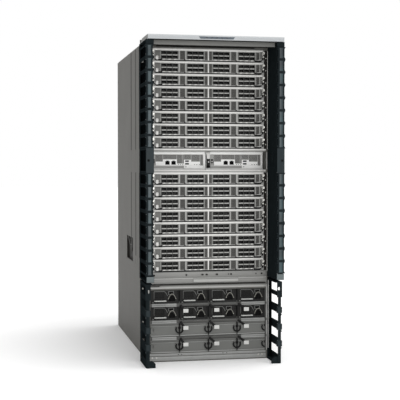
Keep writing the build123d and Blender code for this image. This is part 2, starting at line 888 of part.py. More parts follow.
# Blank covers: shallow trays with a formed face, hook arms and a cord label plate
def supply_blank(column, floor, has_label):
    """Cover of an empty bay, with a stepped face and a rolled edge at the top and the bottom."""
    half = supply_width / 2
    low = floor
    high = floor + supply_height - supply_clearance
    with BuildPart() as cover:
        with BuildSketch(lengthwise(column - half)):
            with BuildLine():
                Polyline(
                    (blank_depth, low),
                    (0, low),
                    (-2, low + 2),
                    (-2, low + 5),
                    (0, low + 7),
                    (0, high - 8),
                    (2, high - 4),
                    (2, high),
                    (blank_depth, high),
                    (blank_depth, high - 2),
                    (4, high - 2),
                    (4, low + 2),
                    (blank_depth, low + 2),
                    close=True,
                )
            make_face()
        extrude(amount=supply_width)
        hook_arms(column, floor, (-1, 1))
        if has_label:
            label_x = column - half + 13.0
            block((label_x, label_x + 20), (-3, 0), (high - 25, high - 10.5))
    return cover.part


number = 0
blank_number = 0
for row, floor in enumerate(supply_floors):
    for index, column in enumerate(supply_columns_x):
        if row < supply_rows / 2:
            number += 1
            finish(f"power_supply_{number}", power_supply(column, floor))
        else:
            blank_number += 1
            finish(f"supply_blank_{blank_number}", supply_blank(column, floor, index > 0))

# Fan trays: drawers at the rear, each with two ducts, shafts and a slotted guard
fans_per_tray = 2
fan_pitch = 200.0
guard_sheet = 2.0
guard_pitch = 32.0
guard_slot = 18.0
rotor_depth = 45.0
rotor_front = tray_front + 40.0


def fan_centres(low):
    """Axes of the fans in a tray whose bay starts at a height."""
    middle = low + tray_height / 2
    return [((k - (fans_per_tray - 1) / 2) * fan_pitch, middle) for k in range(fans_per_tray)]


def fan_tray(low):
    """Drawer frame bored for its fans, with a motor mount and shaft in each bore and two grab handles."""
    half = module_width / 2
    centres = fan_centres(low)
    tray_z = (low + shelf_sheet, low + tray_height - module_clearance)
    with BuildPart() as tray:
        with BuildSketch(upright(tray_front)):
            panel((-half, half), tray_z)
            with Locations(*centres):
                RegularPolygon(fan_radius + fan_tip_gap, 14, major_radius=False, mode=Mode.SUBTRACT)
        extrude(amount=-(fan_tray_depth - guard_sheet))
        with BuildSketch(upright(chassis_depth)):
            panel((-half, half), tray_z)
            for x, z in centres:
                for k in (-2, -1, 1, 2):
                    offset = k * guard_pitch
                    reach = (fan_radius**2 - offset**2) ** 0.5
                    slot = (z + offset - guard_slot / 2, z + offset + guard_slot / 2)
                    panel((x - reach, x + reach), slot, Mode.SUBTRACT)
        extrude(amount=guard_sheet)
        # Motor mounts stand on the guard, and the shafts on the mounts
        for x, z in centres:
            with BuildSketch(upright(chassis_depth - guard_sheet)):
                with Locations((x, z)):
                    RegularPolygon(30, 8)
            motor_length = chassis_depth - guard_sheet - rotor_front - rotor_depth - 2
            extrude(amount=motor_length)
            with BuildSketch(upright(rotor_front + rotor_depth + 2)):
                with Locations((x, z)):
                    Circle(fan_shaft_radius)
            extrude(amount=rotor_depth)
        # Grab handles
        for side in (-1, 1):
            handle_x = span(side, half - 22, half - 10)
            middle = low + tray_height / 2
            reach = (chassis_depth, chassis_depth + rear_handle_reach)
            block(handle_x, reach, (middle - 60, middle + 60))
            grip = (chassis_depth, chassis_depth + rear_handle_reach - 6)
            block(handle_x, grip, (middle - 52, middle + 52), Mode.SUBTRACT)
    return tray.part


def fan_rotor(x, z):
    """Axial rotor: an eight-sided hub with a blind shaft bore and pitched blades."""
    with BuildPart() as rotor:
        with BuildSketch(upright(rotor_front)):
            with Locations((x, z)):
                RegularPolygon(fan_hub_radius, 2 * fan_blades)
        extrude(amount=-rotor_depth)
        with BuildSketch(upright(rotor_front + rotor_depth)):
            with Locations((x, z)):
                Circle(fan_shaft_radius + shaft_clearance)
        extrude(amount=rotor_depth - 1, mode=Mode.SUBTRACT)
        middle_y = front + rotor_front + rotor_depth / 2
        for k in range(fan_blades):
            turn = 360.0 / fan_blades * (k + 0.5)
            outward = Vector(cos(radians(turn)), 0, sin(radians(turn)))
            chord = Vector(0, 1, 0).rotate(Axis((0, 0, 0), tuple(outward)), 90 - blade_pitch_deg)
            root = Vector(x, middle_y, z) + outward * (fan_hub_radius - 4)
            with BuildSketch(Plane(origin=tuple(root), x_dir=tuple(chord), z_dir=tuple(outward))):
                Trapezoid(blade_chord, blade_thickness, 80)
            extrude(amount=fan_radius - fan_hub_radius + 3)
    return rotor.part


rotor_number = 0
for tray_number in range(1, tray_count + 1):
    low = module_top - tray_number * tray_height
    finish(f"fan_tray_{tray_number}", fan_tray(low))
    for x, z in fan_centres(low):
        rotor_number += 1
        finish(f"fan_rotor_{rotor_number}", fan_rotor(x, z))

os.makedirs("parts", exist_ok=True)
for name, piece in finished.items():
    export_step(piece, f"parts/{name}.step")
print(len(finished), "pieces")
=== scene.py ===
"""Looks of the modular chassis switch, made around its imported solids.

Sizes are in millimetres and turn into metres when a mesh is made. X runs to the right, Z up, and Y back
from the faces of the line modules, as in the construction.
"""
import math

import bpy
import numpy as np
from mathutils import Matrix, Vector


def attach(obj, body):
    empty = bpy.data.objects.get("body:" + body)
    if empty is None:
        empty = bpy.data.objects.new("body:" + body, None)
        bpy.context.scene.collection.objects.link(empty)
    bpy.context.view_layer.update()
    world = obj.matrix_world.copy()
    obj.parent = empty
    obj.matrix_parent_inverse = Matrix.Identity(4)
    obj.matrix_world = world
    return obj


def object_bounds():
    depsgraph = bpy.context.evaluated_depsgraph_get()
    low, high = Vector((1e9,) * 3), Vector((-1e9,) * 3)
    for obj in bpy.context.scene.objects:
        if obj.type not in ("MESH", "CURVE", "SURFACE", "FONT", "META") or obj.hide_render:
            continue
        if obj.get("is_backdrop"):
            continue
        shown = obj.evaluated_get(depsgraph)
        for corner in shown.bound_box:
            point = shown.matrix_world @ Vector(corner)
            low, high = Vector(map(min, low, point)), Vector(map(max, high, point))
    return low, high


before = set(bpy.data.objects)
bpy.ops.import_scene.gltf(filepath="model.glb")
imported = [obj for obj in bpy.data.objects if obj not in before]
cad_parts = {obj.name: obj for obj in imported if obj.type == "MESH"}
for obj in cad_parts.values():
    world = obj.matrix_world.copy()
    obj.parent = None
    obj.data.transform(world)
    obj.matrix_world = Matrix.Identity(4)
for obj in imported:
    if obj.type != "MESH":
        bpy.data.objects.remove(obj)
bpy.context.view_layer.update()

# Sizes repeated from the construction, in millimetres
front = -383.85
rack_unit = 44.45
chassis_half = 219.5
chassis_depth = 889.0
chassis_height = 1150.6
shelf_sheet = 1.2
base_height = 30.5
supply_pitch_up = 59.7
supply_pitch_across = 106.0
module_floor = 322.2
supervisor_floor = 677.8
supervisor_top = 754.0
upper_floor = 762.4
module_top = 1118.0
hood_reach = 144.5
hood_half = 240.5
supervisor_recess = 50.0
upper_reach = 134.0
lower_reach = 110.0
post_inner = 222.0
ring_outer = 244.5
frame_bottom = 300.0
tray_count = 3
tray_height = (module_top - module_floor) / tray_count
slots = 8
lower_floors = [module_floor + k * rack_unit for k in range(slots)]
upper_floors = [upper_floor + k * rack_unit for k in range(slots)]
slot_floors = sorted(lower_floors + upper_floors, reverse=True)
supply_columns = [(k - 1.5) * supply_pitch_across for k in range(4)]
supply_floors = [base_height + k * supply_pitch_up for k in (3, 2, 1, 0)]

# Sizes of the trim made here: how far it stands off the solid under it, and half the width between posts
seat = 0.02
bay_half = 213.0


# Shapes: each is an array of points and an array of four-cornered faces
def merge(*shapes):
    """Several shapes as one: the points in a row, and each shape's faces counted on by the points before."""
    starts = np.cumsum([0] + [len(points) for points, _ in shapes[:-1]])
    points = np.concatenate([points for points, _ in shapes])
    faces = np.concatenate([faces + start for (_, faces), start in zip(shapes, starts)])
    return points, faces


def copies(shape, offsets):
    """The same shape at many places: every point plus every offset."""
    points, faces = shape
    offsets = np.asarray(offsets, float).reshape(-1, 3)
    steps = np.arange(len(offsets))[:, None, None] * len(points)
    return (points[None] + offsets[:, None]).reshape(-1, 3), (faces[None] + steps).reshape(-1, 4)


def mirrored(shape):
    """The shape seen in a mirror across the middle: X changes its sign, and the faces turn round."""
    points, faces = shape
    return points * (-1, 1, 1), faces[:, ::-1]


def both(shape):
    """The shape and its mirror image."""
    return merge(shape, mirrored(shape))


def loft(rings, closed=False):
    """Skin over rings of points, rows by columns: each point joins its neighbours, and the ends are shut."""
    rows, columns, _ = rings.shape
    row = np.arange(rows if closed else rows - 1)[:, None]
    column = np.arange(columns)[None]
    after = (row + 1) % rows
    beside = (column + 1) % columns
    here, ahead = row * columns, after * columns
    corners = (here + column, here + beside, ahead + beside, ahead + column)
    faces = np.stack(corners, -1).reshape(-1, 4)
    if not closed:
        k = np.arange(columns // 2 - 1)
        end = np.stack([k, k + 1, columns - 2 - k, columns - 1 - k], -1)
        faces = np.concatenate([faces, end[:, ::-1], end + (rows - 1) * columns])
    return rings.reshape(-1, 3), faces


def round_outline(width, height, corner, steps=3):
    """Rectangle with round corners and its outward directions: each corner's middle plus a quarter circle."""
    corner = min(corner, width / 2 - 0.01, height / 2 - 0.01)
    turn = (np.arange(4)[:, None] + np.linspace(0, 1, steps + 1)[None]) * np.pi / 2
    out = np.stack([np.cos(turn), np.sin(turn)], -1)
    middle = np.array([(1, 1), (-1, 1), (-1, -1), (1, -1)]) * (width / 2 - corner, height / 2 - corner)
    return (middle[:, None] + corner * out).reshape(-1, 2), out.reshape(-1, 2)


def pad(x, y, z, corner=1.0, edge=0.4, steps=3):
    """Plate between limits, its front edge rounded: an outline carried from the back limit of Y to the
    front one, drawn in over the last bit by one less the cosine while the depth runs with the sine."""
    outline, out = round_outline(x[1] - x[0], z[1] - z[0], corner, steps)
    edge = min(edge, (y[1] - y[0]) * 0.9)
    turn = np.linspace(0, np.pi / 2, 4)
    inward = np.concatenate([[0.0], edge * (1 - np.cos(turn))])
    depth = np.concatenate([[y[1]], y[0] + edge * (1 - np.sin(turn))])
    flat = outline[None] - inward[:, None, None] * out[None] + (sum(x) / 2, sum(z) / 2)
    depth = np.broadcast_to(depth[:, None], flat.shape[:2])
    return loft(np.stack([flat[..., 0], depth, flat[..., 1]], -1))


def slab(x, y, z):
    """Sharp-edged plate between limits: its eight corners, and one face on each of its six sides."""
    ring = ((0, 0), (1, 0), (1, 1), (0, 1))
    corners = np.array([(x[i], y[j], z[k]) for k in (0, 1) for i, j in ring], float)
    faces = np.array([(0, 3, 2, 1), (4, 5, 6, 7), (0, 1, 5, 4), (1, 2, 6, 5), (2, 3, 7, 6), (3, 0, 4, 7)])
    return corners, faces


def lining(x, z, start, depth, wall=0.15):
    """Thin lining of a socket cut to a depth: four slabs along its sides and one against its end."""
    y = (start, depth - 0.05)
    return merge(
        slab((x[0] + seat, x[0] + wall), y, z),
        slab((x[1] - wall, x[1] - seat), y, z),
        slab(x, y, (z[0] + seat, z[0] + wall)),
        slab(x, y, (z[1] - wall, z[1] - seat)),
        slab(x, (y[1] - wall, y[1]), z),
    )


def bent(corners, radius, steps=5):
    """Line with rounded corners: from a radius before each corner to a radius after it, on a curve that
    weighs start, corner and end by the squares and product of the share run."""
    corners = np.asarray(corners, float)
    here = corners[1:-1]
    back = corners[:-2] - here
    ahead = corners[2:] - here
    start = here + radius * back / np.linalg.norm(back, axis=1, keepdims=True)
    end = here + radius * ahead / np.linalg.norm(ahead, axis=1, keepdims=True)
    share = np.linspace(0, 1, steps)[None, :, None]
    left = 1 - share
    curve = left**2 * start[:, None] + 2 * share * left * here[:, None] + share**2 * end[:, None]
    return np.concatenate([corners[:1], curve.reshape(-1, corners.shape[1]), corners[-1:]])


def carried(section, path, across, closed=False):
    """Section carried along a path: its first value along the path's side, its second along the fixed
    direction across. The side is at right angles to across and to the mean of the runs that meet."""
    path = np.asarray(path, float)
    across = np.asarray(across, float)
    run = np.diff(np.concatenate([path, path[:1]]) if closed else path, axis=0)
    run /= np.linalg.norm(run, axis=1, keepdims=True)
    before = np.roll(run, 1, axis=0) if closed else np.concatenate([run[:1], run])
    after = run if closed else np.concatenate([run, run[-1:]])
    side = np.cross(before + after, across)
    side /= np.linalg.norm(side, axis=1, keepdims=True)
    rings = path[:, None] + section[None, :, :1] * side[:, None] + section[None, :, 1:] * across
    return loft(rings, closed)


def wire(path, radius, across=(0, 1, 0), sides=10, closed=False):
    """Round wire: a circle carried along a path."""
    turn = (np.arange(sides) + 0.5) / sides * 2 * np.pi
    return carried(radius * np.stack([np.cos(turn), np.sin(turn)], 1), path, across, closed)


def turned(profile, x, z, sides=24, grip=0.0):
    """Surface turned about a line along Y: each radius carried round at its depth, with grip as the share
    by which every second point of the rim is drawn in."""
    radius, depth = np.asarray(profile, float).T
    turn = (np.arange(sides) + 0.5) / sides * 2 * np.pi
    rim = radius[:, None] * (1 - grip * (np.arange(sides) % 2))
    depth = np.broadcast_to(depth[:, None], rim.shape)
    return loft(np.stack([x + rim * np.cos(turn), depth, z + rim * np.sin(turn)], -1))


def pierced(x_lines, z_lines, solid, y):
    """Plate on a grid of lines: a solid cell has a front and a back face, and a wall stands wherever a
    solid cell meets an open one."""
    grid_x, grid_z = np.meshgrid(x_lines, z_lines, indexing="ij")
    count = grid_x.size
    index = np.arange(count).reshape(grid_x.shape)
    corners = (index[:-1, :-1], index[1:, :-1], index[1:, 1:], index[:-1, 1:])
    cells = np.stack(corners, -1)[solid]
    round_x = np.pad(solid, ((1, 1), (0, 0)))
    round_z = np.pad(solid, ((0, 0), (1, 1)))
    upright = np.stack([index[:, :-1], index[:, 1:]], -1)[round_x[1:] != round_x[:-1]]
    level = np.stack([index[:-1], index[1:]], -1)[round_z[:, 1:] != round_z[:, :-1]]
    edges = np.concatenate([upright, level])
    walls = np.stack([edges[:, 0], edges[:, 1], edges[:, 1] + count, edges[:, 0] + count], -1)
    faces = np.concatenate([cells, cells[:, ::-1] + count, walls])
    flat = np.stack([grid_x.ravel(), np.zeros(count), grid_z.ravel()], 1)
    points = np.concatenate([flat + (0, y[0], 0), flat + (0, y[1], 0)])
    used, faces = np.unique(faces, return_inverse=True)
    return points[used], faces.reshape(-1, 4)


def cut_plate(x, z, holes, y):
    """Plate with rectangular holes: the limits of all the holes are the lines of a grid, and a cell is open
    where its middle lies in a hole."""
    holes = np.asarray(holes, float).reshape(-1, 4)
    x_lines = np.unique(np.concatenate([x, holes[:, 0], holes[:, 1]]))
    z_lines = np.unique(np.concatenate([z, holes[:, 2], holes[:, 3]]))
    middle_x = (x_lines[:-1] + x_lines[1:])[:, None, None] / 2
    middle_z = (z_lines[:-1] + z_lines[1:])[None, :, None] / 2
    inside = (middle_x > holes[:, 0]) & (middle_x < holes[:, 1])
    inside = inside & (middle_z > holes[:, 2]) & (middle_z < holes[:, 3])
    return pierced(x_lines, z_lines, ~inside.any(-1), y)


def mesh_sheet(x, z, y, pitch, web):
    """Perforated sheet: a grid in which wide open cells and narrow webs take turns along X and Z."""
    def lines(low, high):
        count = max(1, int((high - low - web) // pitch))
        start = (low + high - count * pitch - web) / 2
        steps = start + np.arange(count + 1)[:, None] * pitch + np.array([0.0, web])
        return np.concatenate([[low], steps.ravel()[1:-1], [high]])

    x_lines, z_lines = lines(*x), lines(*z)
    open_x = np.arange(len(x_lines) - 1) % 2 == 1
    open_z = np.arange(len(z_lines) - 1) % 2 == 1
    return pierced(x_lines, z_lines, ~(open_x[:, None] & open_z[None]), y)


def placed(name, data, location=(0.0, 0.0, 0.0), turn=(0.0, 0.0, 0.0)):
    """Object in the scene, with its data, at a place in metres and turned in radians."""
    thing = bpy.data.objects.new(name, data)
    thing.location = location
    thing.rotation_euler = turn
    bpy.context.scene.collection.objects.link(thing)
    return thing


def piece(name, shape, finish, body, sharp_deg=35.0):
    """Object from a shape: millimetres become metres, the front's place is added, and the faces are turned
    outwards. It gets its finish and rides on a body."""
    points, faces = shape
    mesh = bpy.data.meshes.new(name)
    mesh.from_pydata(((points + (0, front, 0)) / 1000).tolist(), [], faces.tolist())
    mesh.validate()
    shown = placed(name, mesh)
    bpy.context.view_layer.objects.active = shown
    shown.select_set(True)
    bpy.ops.object.mode_set(mode="EDIT")
    bpy.ops.mesh.select_all(action="SELECT")
    bpy.ops.mesh.normals_make_consistent(inside=False)
    bpy.ops.object.mode_set(mode="OBJECT")
    shown.select_set(False)
    mesh.shade_smooth()
    mesh.set_sharp_from_angle(angle=math.radians(sharp_deg))
    mesh.materials.append(finish)
    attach(shown, body)
    return shown


# Finishes
def linear(colour):
    """Six-digit sRGB colour as linear values: each share is divided by 12.92 where dark, and else raised to
    2.4 after 0.055 is added and 1.055 divided out."""
    share = np.array([int(colour[k : k + 2], 16) for k in (1, 3, 5)]) / 255
    return (*np.where(share <= 0.04045, share / 12.92, ((share + 0.055) / 1.055) ** 2.4).tolist(), 1.0)


def add_node(tree, kind, settings=None, links=None):
    """Node with its plain settings and input values, and with links from other nodes' outputs."""
    node = tree.nodes.new(kind)
    for name, value in (settings or {}).items():
        if name in node.inputs:
            node.inputs[name].default_value = value
        else:
            setattr(node, name, value)
    for name, output in (links or {}).items():
        tree.links.new(output, node.inputs[name])
    return node


def finish(name, colour, second, roughness, grain_mm, grain_depth_mm, metallic=0.0, patch_mm=120.0,
           streak=(1.0, 1.0, 1.0), coat=0.0, share=0.5, specular=0.5):
    """Coat, plating or moulded surface. A broad noise, patch_mm wide, mixes the second colour into the first.
    A fine one, grain_mm wide, stands grain_depth_mm high and moves the roughness. Streak stretches both."""
    material = bpy.data.materials.new(name)
    material.use_nodes = True
    tree = material.node_tree
    tree.nodes.clear()
    place = add_node(tree, "ShaderNodeTexCoord")
    stretched = add_node(tree, "ShaderNodeMapping", {"Scale": streak}, {"Vector": place.outputs["Object"]})
    where = {"Vector": stretched.outputs["Vector"]}
    broad = add_node(tree, "ShaderNodeTexNoise", {"Scale": 1000 / patch_mm, "Detail": 4.0}, where)
    fine = add_node(tree, "ShaderNodeTexNoise", {"Scale": 1000 / grain_mm, "Detail": 2.0}, where)
    range_in = {"From Min": 0.3, "From Max": 0.7, "To Min": 0.0, "To Max": share}
    weight = add_node(tree, "ShaderNodeMapRange", range_in, {"Value": broad.outputs["Fac"]})
    mix = add_node(tree, "ShaderNodeMix", {"data_type": "RGBA"})
    mix.inputs[6].default_value = linear(colour)
    mix.inputs[7].default_value = linear(second)
    tree.links.new(weight.outputs["Result"], mix.inputs[0])
    sheen_range = {"From Min": 0.25, "From Max": 0.75, "To Min": roughness - 0.06, "To Max": roughness + 0.06}
    rough = add_node(tree, "ShaderNodeMapRange", sheen_range, {"Value": fine.outputs["Fac"]})
    bump_set = {"Strength": 0.6, "Distance": grain_depth_mm / 1000}
    bump = add_node(tree, "ShaderNodeBump", bump_set, {"Height": fine.outputs["Fac"]})
    plain = {"Metallic": metallic, "Coat Weight": coat, "Specular IOR Level": specular}
    surface = add_node(tree, "ShaderNodeBsdfPrincipled", plain, {
        "Base Color": mix.outputs[2],
        "Roughness": rough.outputs["Result"],
        "Normal": bump.outputs["Normal"],
    })
    add_node(tree, "ShaderNodeOutputMaterial", None, {"Surface": surface.outputs["BSDF"]})
    return material


# Epoxy powder coat on sheet steel: a matt orange-peel skin, drawn coarser than its real half millimetre
chassis_coat = finish("powder_coated_sheet_steel", "#62615d", "#595854", 0.55, 2.5, 0.08, specular=0.12)
# The same coat darker in the handle pockets: painted shade for the shade inside them
recess_shade_coat = finish("powder_coat_painted_recess_shade", "#3b3a38", "#333230", 0.55, 2.5, 0.06, specular=0.03)
# Painted shade: thin lines along the folds and joints of that sheet, darker than the wall beside them, and a
# darker grey laid where shade falls under the hood, beside the posts, in holes and under ledges
seam_shade_line = finish("sheet_seam_painted_shade", "#474643", "#3d3c3a", 0.6, 2.0, 0.03, specular=0.04)
seam_shade = finish("painted_shade_sheet", "#2c2b29", "#242321", 0.6, 2.0, 0.03, specular=0.0)
# The same coat in a paler grey, satin, on the faces that people handle: soft, wide reflections
face_coat = finish("satin_coated_faceplate", "#a3a3a0", "#989895", 0.42, 2.0, 0.05, specular=0.4)
field_coat = finish("satin_coated_port_field", "#636360", "#5a5a57", 0.45, 2.0, 0.04, specular=0.35)
panel_coat = finish("satin_coated_end_panel", "#666663", "#5b5b58", 0.45, 2.0, 0.05, specular=0.35)
# Nearly white where a rolled edge catches the light
lip_coat = finish("satin_coated_lip", "#d9d8d5", "#cfcecb", 0.38, 2.0, 0.04)
# Flat satin greys of the end blocks, hood, beam and rails, each a step from its neighbour
end_block_coat = finish("satin_coated_end_block", "#626a6b", "#596061", 0.45, 2.0, 0.05, specular=0.2)
hood_coat = finish("satin_coated_hood", "#b3b6b8", "#a9acae", 0.4, 2.0, 0.05, specular=0.2)
beam_coat = finish("satin_coated_beam", "#7f7f7c", "#757572", 0.4, 2.0, 0.05, specular=0.4)
rail_coat = finish("satin_coated_rail", "#a2a29f", "#979794", 0.4, 2.0, 0.05, specular=0.4)
# Darker coat of the power bays, and a paler grey on the ledges, mottled in patches a finger wide
shelf_coat = finish("coated_power_shelf", "#444442", "#3c3c3a", 0.45, 2.0, 0.05, specular=0.3)
ledge_coat = finish("pale_shelf_ledge", "#8c8d8b", "#7d7e7c", 0.42, 1.6, 0.05, patch_mm=18.0)
blank_coat = finish("coated_blank_cover", "#656663", "#5a5b58", 0.45, 2.0, 0.05, specular=0.35)
# Glass-filled moulding with a dull skin, nearly black; the spools are satin with a green-blue cast, and their
# broad patches, from teal to near black, are painted highlights
frame_moulding = finish("moulded_black_frame", "#22282a", "#191d1f", 0.55, 1.5, 0.03, specular=0.0)
spool_moulding = finish(
    "satin_cable_spool_painted_highlights", "#2f4347", "#22282c", 0.34, 1.5, 0.03, patch_mm=60.0, share=1.0, specular=0.3)
guard_moulding = finish("satin_cable_guard", "#262e31", "#1d2325", 0.45, 1.5, 0.03, specular=0.1)
# Plain black mouldings: ejectors and straps with a faint gloss, socket inserts with next to none
arm_moulding = finish("moulded_black_ejector", "#101010", "#171717", 0.45, 1.2, 0.03, specular=0.12)
socket_dark = finish("moulded_socket_insert", "#070707", "#0b0b0b", 0.7, 1.0, 0.02, specular=0.08)
# Tin-plated and blackened steel in shade: a metal glint in a dark place
cage_steel = finish("tin_plated_cage", "#2a2a28", "#20201e", 0.5, 1.5, 0.02, metallic=0.3, patch_mm=8.0)
dark_screw = finish("blackened_screw", "#3c3c3a", "#302f2e", 0.4, 1.2, 0.02, metallic=0.4, patch_mm=9.0)
# Nickel plate over steel, pale and a little uneven, and the same gone dull on the bails
nickel = finish("nickel_plated_steel", "#b9b8b3", "#a5a49f", 0.34, 1.5, 0.02, metallic=0.6, patch_mm=12.0)
tarnished_wire = finish("tarnished_wire", "#87867e", "#706f68", 0.45, 1.2, 0.02, metallic=0.3, patch_mm=9.0)
# Perforated sheet: its webs are bright at the supervisors, and greyer at the vents of the modules
grille_steel = finish("bright_grille_steel", "#a6a6a3", "#9a9a97", 0.45, 1.2, 0.03, specular=0.3)
vent_steel = finish("perforated_vent_steel", "#5f5e5b", "#545350", 0.5, 1.2, 0.03, specular=0.3)
# Zinc plate on the fan trays and fabric modules: bluish metal, its patches 25 mm wide
zinc_sheet = finish("zinc_plated_sheet", "#a5a8aa", "#94979a", 0.36, 1.5, 0.03, metallic=0.85, patch_mm=25.0)
# Green resin board, smooth, with a mild gloss
board_laminate = finish("glass_epoxy_board", "#1f4a33", "#1a3f2b", 0.4, 1.5, 0.03)
# Off-white satin coat of the supervisors' faces
supervisor_coat = finish("satin_coated_supervisor", "#fafaf8", "#f2f2f0", 0.38, 2.0, 0.04)
# Black coat of the supplies, with its grey edges
supply_coat = finish("satin_black_supply_steel", "#1a1a19", "#131312", 0.45, 1.5, 0.04, specular=0.12)
supply_trim_coat = finish("grey_supply_trim", "#555653", "#464744", 0.42, 1.2, 0.04, patch_mm=14.0)
# Brushed metal grip: its noise is drawn out ten times along X, so that it shines in streaks
bar_coat = finish(
    "brushed_handle_bar", "#b4b5b2", "#a1a29f", 0.34, 0.9, 0.02, patch_mm=20.0, streak=(0.1, 1, 1))
# Matt label card, glossy film over dark lamps, and the rotors' satin black
label_stock = finish("bare_label_stock", "#c9c9c6", "#bfbfbc", 0.55, 1.0, 0.01)
panel_film = finish("dark_indicator_film", "#3b4650", "#343e48", 0.25, 1.0, 0.01, coat=0.5)
rotor_moulding = finish("moulded_black_rotor", "#1a1a1a", "#222222", 0.42, 1.5, 0.03)


def dress(finish_used, *nodes):
    """Gives solids from the construction their finish."""
    for node in nodes:
        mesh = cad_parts[node].data
        mesh.materials.clear()
        mesh.materials.append(finish_used)


dress(chassis_coat, "chassis_shell", "rear_power_cover")
dress(recess_shade_coat, "side_handle_left", "side_handle_right")
dress(hood_coat, "top_hood")
dress(panel_film, "hood_indicator_panel")
dress(frame_moulding, "cable_frame_upper_left", "cable_frame_upper_right")
dress(frame_moulding, "cable_frame_lower_left", "cable_frame_lower_right")
dress(beam_coat, "intake_beam")
dress(shelf_coat, "power_shelf")
dress(board_laminate, "midplane")
dress(zinc_sheet, "fabric_modules", "fan_tray_1", "fan_tray_2", "fan_tray_3")
dress(dark_screw, "front_fasteners")
dress(arm_moulding, "supervisor_lever_left", "supervisor_lever_right")
dress(supervisor_coat, "supervisor_left", "supervisor_right")
dress(face_coat, *[f"io_module_{k:02d}" for k in range(1, 17)])
dress(supply_coat, *[f"power_supply_{k}" for k in range(1, 9)])
dress(blank_coat, *[f"supply_blank_{k}" for k in range(1, 9)])
dress(rotor_moulding, *[f"fan_rotor_{k}" for k in range(1, 7)])

# Line module faces. Heights are counted up from the floor of a module's own slot
group_pitch = 94.0
group_middles = [(k - 1.5) * group_pitch for k in range(4)]
socket_pitch = 20.5
socket_size = (18.4, 8.6)
socket_margin = 0.9
row_heights = (rack_unit - 14.2, rack_unit - 29.9)
rows_middle = sum(row_heights) / 2
vent_limits = [(-103.4, -84.5), (-13.8, -2.5), (2.3, 13.3), (83.2, 102.8), (176.0, 189.0)]
vent_heights = (6.0, 37.6)
row_half = socket_pitch + socket_size[0] / 2
group_places = [(g, 0, 0) for g in group_middles]
row_places = [(g, 0, height) for g in group_middles for height in row_heights]
socket_places = [(g + k * socket_pitch, 0, 0) for g in group_middles for k in (-1, 0, 1)]


def group_holes(middle=0.0, margin=0.0):
    """Limits of the two rows of sockets of one group, which lies round a middle, with a margin over and
    under each row."""
    tall = socket_size[1] / 2 + margin
    return [(middle - row_half, middle + row_half, row - tall, row + tall) for row in row_heights]


def module_face():
    """Pressed plate over the module's face, cut for its sockets and vents."""
    vents = np.array([(*limits, *vent_heights) for limits in vent_limits])
    holes = np.concatenate([*(group_holes(g, socket_margin) for g in group_middles), vents])
    return cut_plate((-172.5, 191.0), (3.0, 42.5), holes, (-1.4, -seat))


def module_fields():
    """Darker field round each group's sockets, cut for them, and the folded panels at the module's ends."""
    holes = group_holes(margin=socket_margin)
    field = cut_plate((-32.4, 32.4), (rows_middle - 14.2, rows_middle + 14.2), holes, (-1.8, -1.41))
    left = pad((-192.4, -173.4), (-1.8, -seat), (8.4, 38.0), 1.2, 0.6)
    right = pad((191.4, 195.6), (-3.2, -seat), (5.0, 39.0), 0.8, 0.6)
    return merge(copies(field, group_places), left, right)


def module_lips():
    """Bright edges: a rolled lip over the face, a rib between the middle vents, low bumps under the sockets,
    and the tip of the left ejector."""
    bump = pad((-4.4, 4.4), (-2.6, -1.3), (5.3, 8.3), 0.9, 0.6)
    lip = pad((-204.5, 204.5), (-3.2, -seat), (38.6, 45.3), 1.8, 1.6)
    rib = pad((-2.2, 2.0), (-2.6, -seat), (5.0, 39.5), 0.8, 0.6)
    tip = pad((-192.6, -182.0), (-8.8, -1.0), (4.8, 19.0), 3.2, 2.0)
    return merge(lip, rib, tip, copies(bump, socket_places))


def module_beads():
    """Bead round each group, and a bar between each pair of sockets."""
    outline, _ = round_outline(66.4, 29.8, 3.0)
    path = np.stack([outline[:, 0], np.full(len(outline), -1.6), outline[:, 1] + rows_middle], 1)
    bead = wire(path, 0.8, sides=8, closed=True)
    bar = pad((-8.4, 8.4), (-2.4, -1.7), (rows_middle - 1.8, rows_middle + 1.8), 0.8, 0.5)
    return merge(copies(bead, group_places), copies(bar, socket_places))


def module_sockets():
    """Dark lining of each row of sockets with its seal round it, the gasket under the face, and two low
    slots."""
    tall = socket_size[1] / 2
    row = lining((-row_half, row_half), (-tall, tall), 0.1, 12.0)
    seal = cut_plate((-32.0, 32.0), (rows_middle - 14.0, rows_middle + 14.0), group_holes(), (-0.5, -0.03))
    gasket = slab((-176.0, 191.0), (-1.6, -seat), (1.4, 4.6))
    hole = pad((100.2, 104.2), (-2.4, -0.5), (2.0, 7.4), 1.2, 0.3)
    holes = copies(hole, [(0, 0, 0), (-188.0, 0, 0)])
    return merge(copies(row, row_places), copies(seal, group_places), gasket, holes)


def module_cages():
    """Cage walls between neighbouring sockets, and a contact tongue deep in each socket."""
    tall = socket_size[1] / 2
    wall_half = (socket_pitch - socket_size[0]) / 2
    wall = slab((-wall_half, wall_half), (-0.9, 11.7), (-tall + 0.2, tall - 0.2))
    tongue = slab((-6.5, 6.5), (8.0, 11.7), (-1.0, 0.4))
    walls = copies(wall, [(k * socket_pitch, 0, 0) for k in (-0.5, 0.5)])
    row = merge(walls, copies(tongue, [(k * socket_pitch, 0, 0) for k in (-1, 0, 1)]))
    return copies(row, row_places)


def module_vents():
    """Perforated sheet in each vent, a little behind the face, with holes every 3.2 mm."""
    return merge(*[mesh_sheet(limits, vent_heights, (-0.9, -0.3), 3.2, 1.0) for limits in vent_limits])


def module_vent_shades():
    """Painted shade: a dark sheet standing for the dark space behind each vent's sheet."""
    return merge(*[slab(limits, (-0.28, -seat), vent_heights) for limits in vent_limits])


def module_ends():
    """Bent ejector arm at each end: a flat oval section carried down the edge and in under the face."""
    section, _ = round_outline(6.4, 7.6, 1.6)
    low = shelf_sheet
    path = bent([(-200.5, low + 30.6), (-200.5, low + 9.5), (-193.0, low + 3.6), (-168.0, low + 3.6)], 5.0)
    path = np.stack([path[:, 0], np.full(len(path), -3.9), path[:, 1]], 1)
    return both(carried(section, path, (0, 1, 0)))


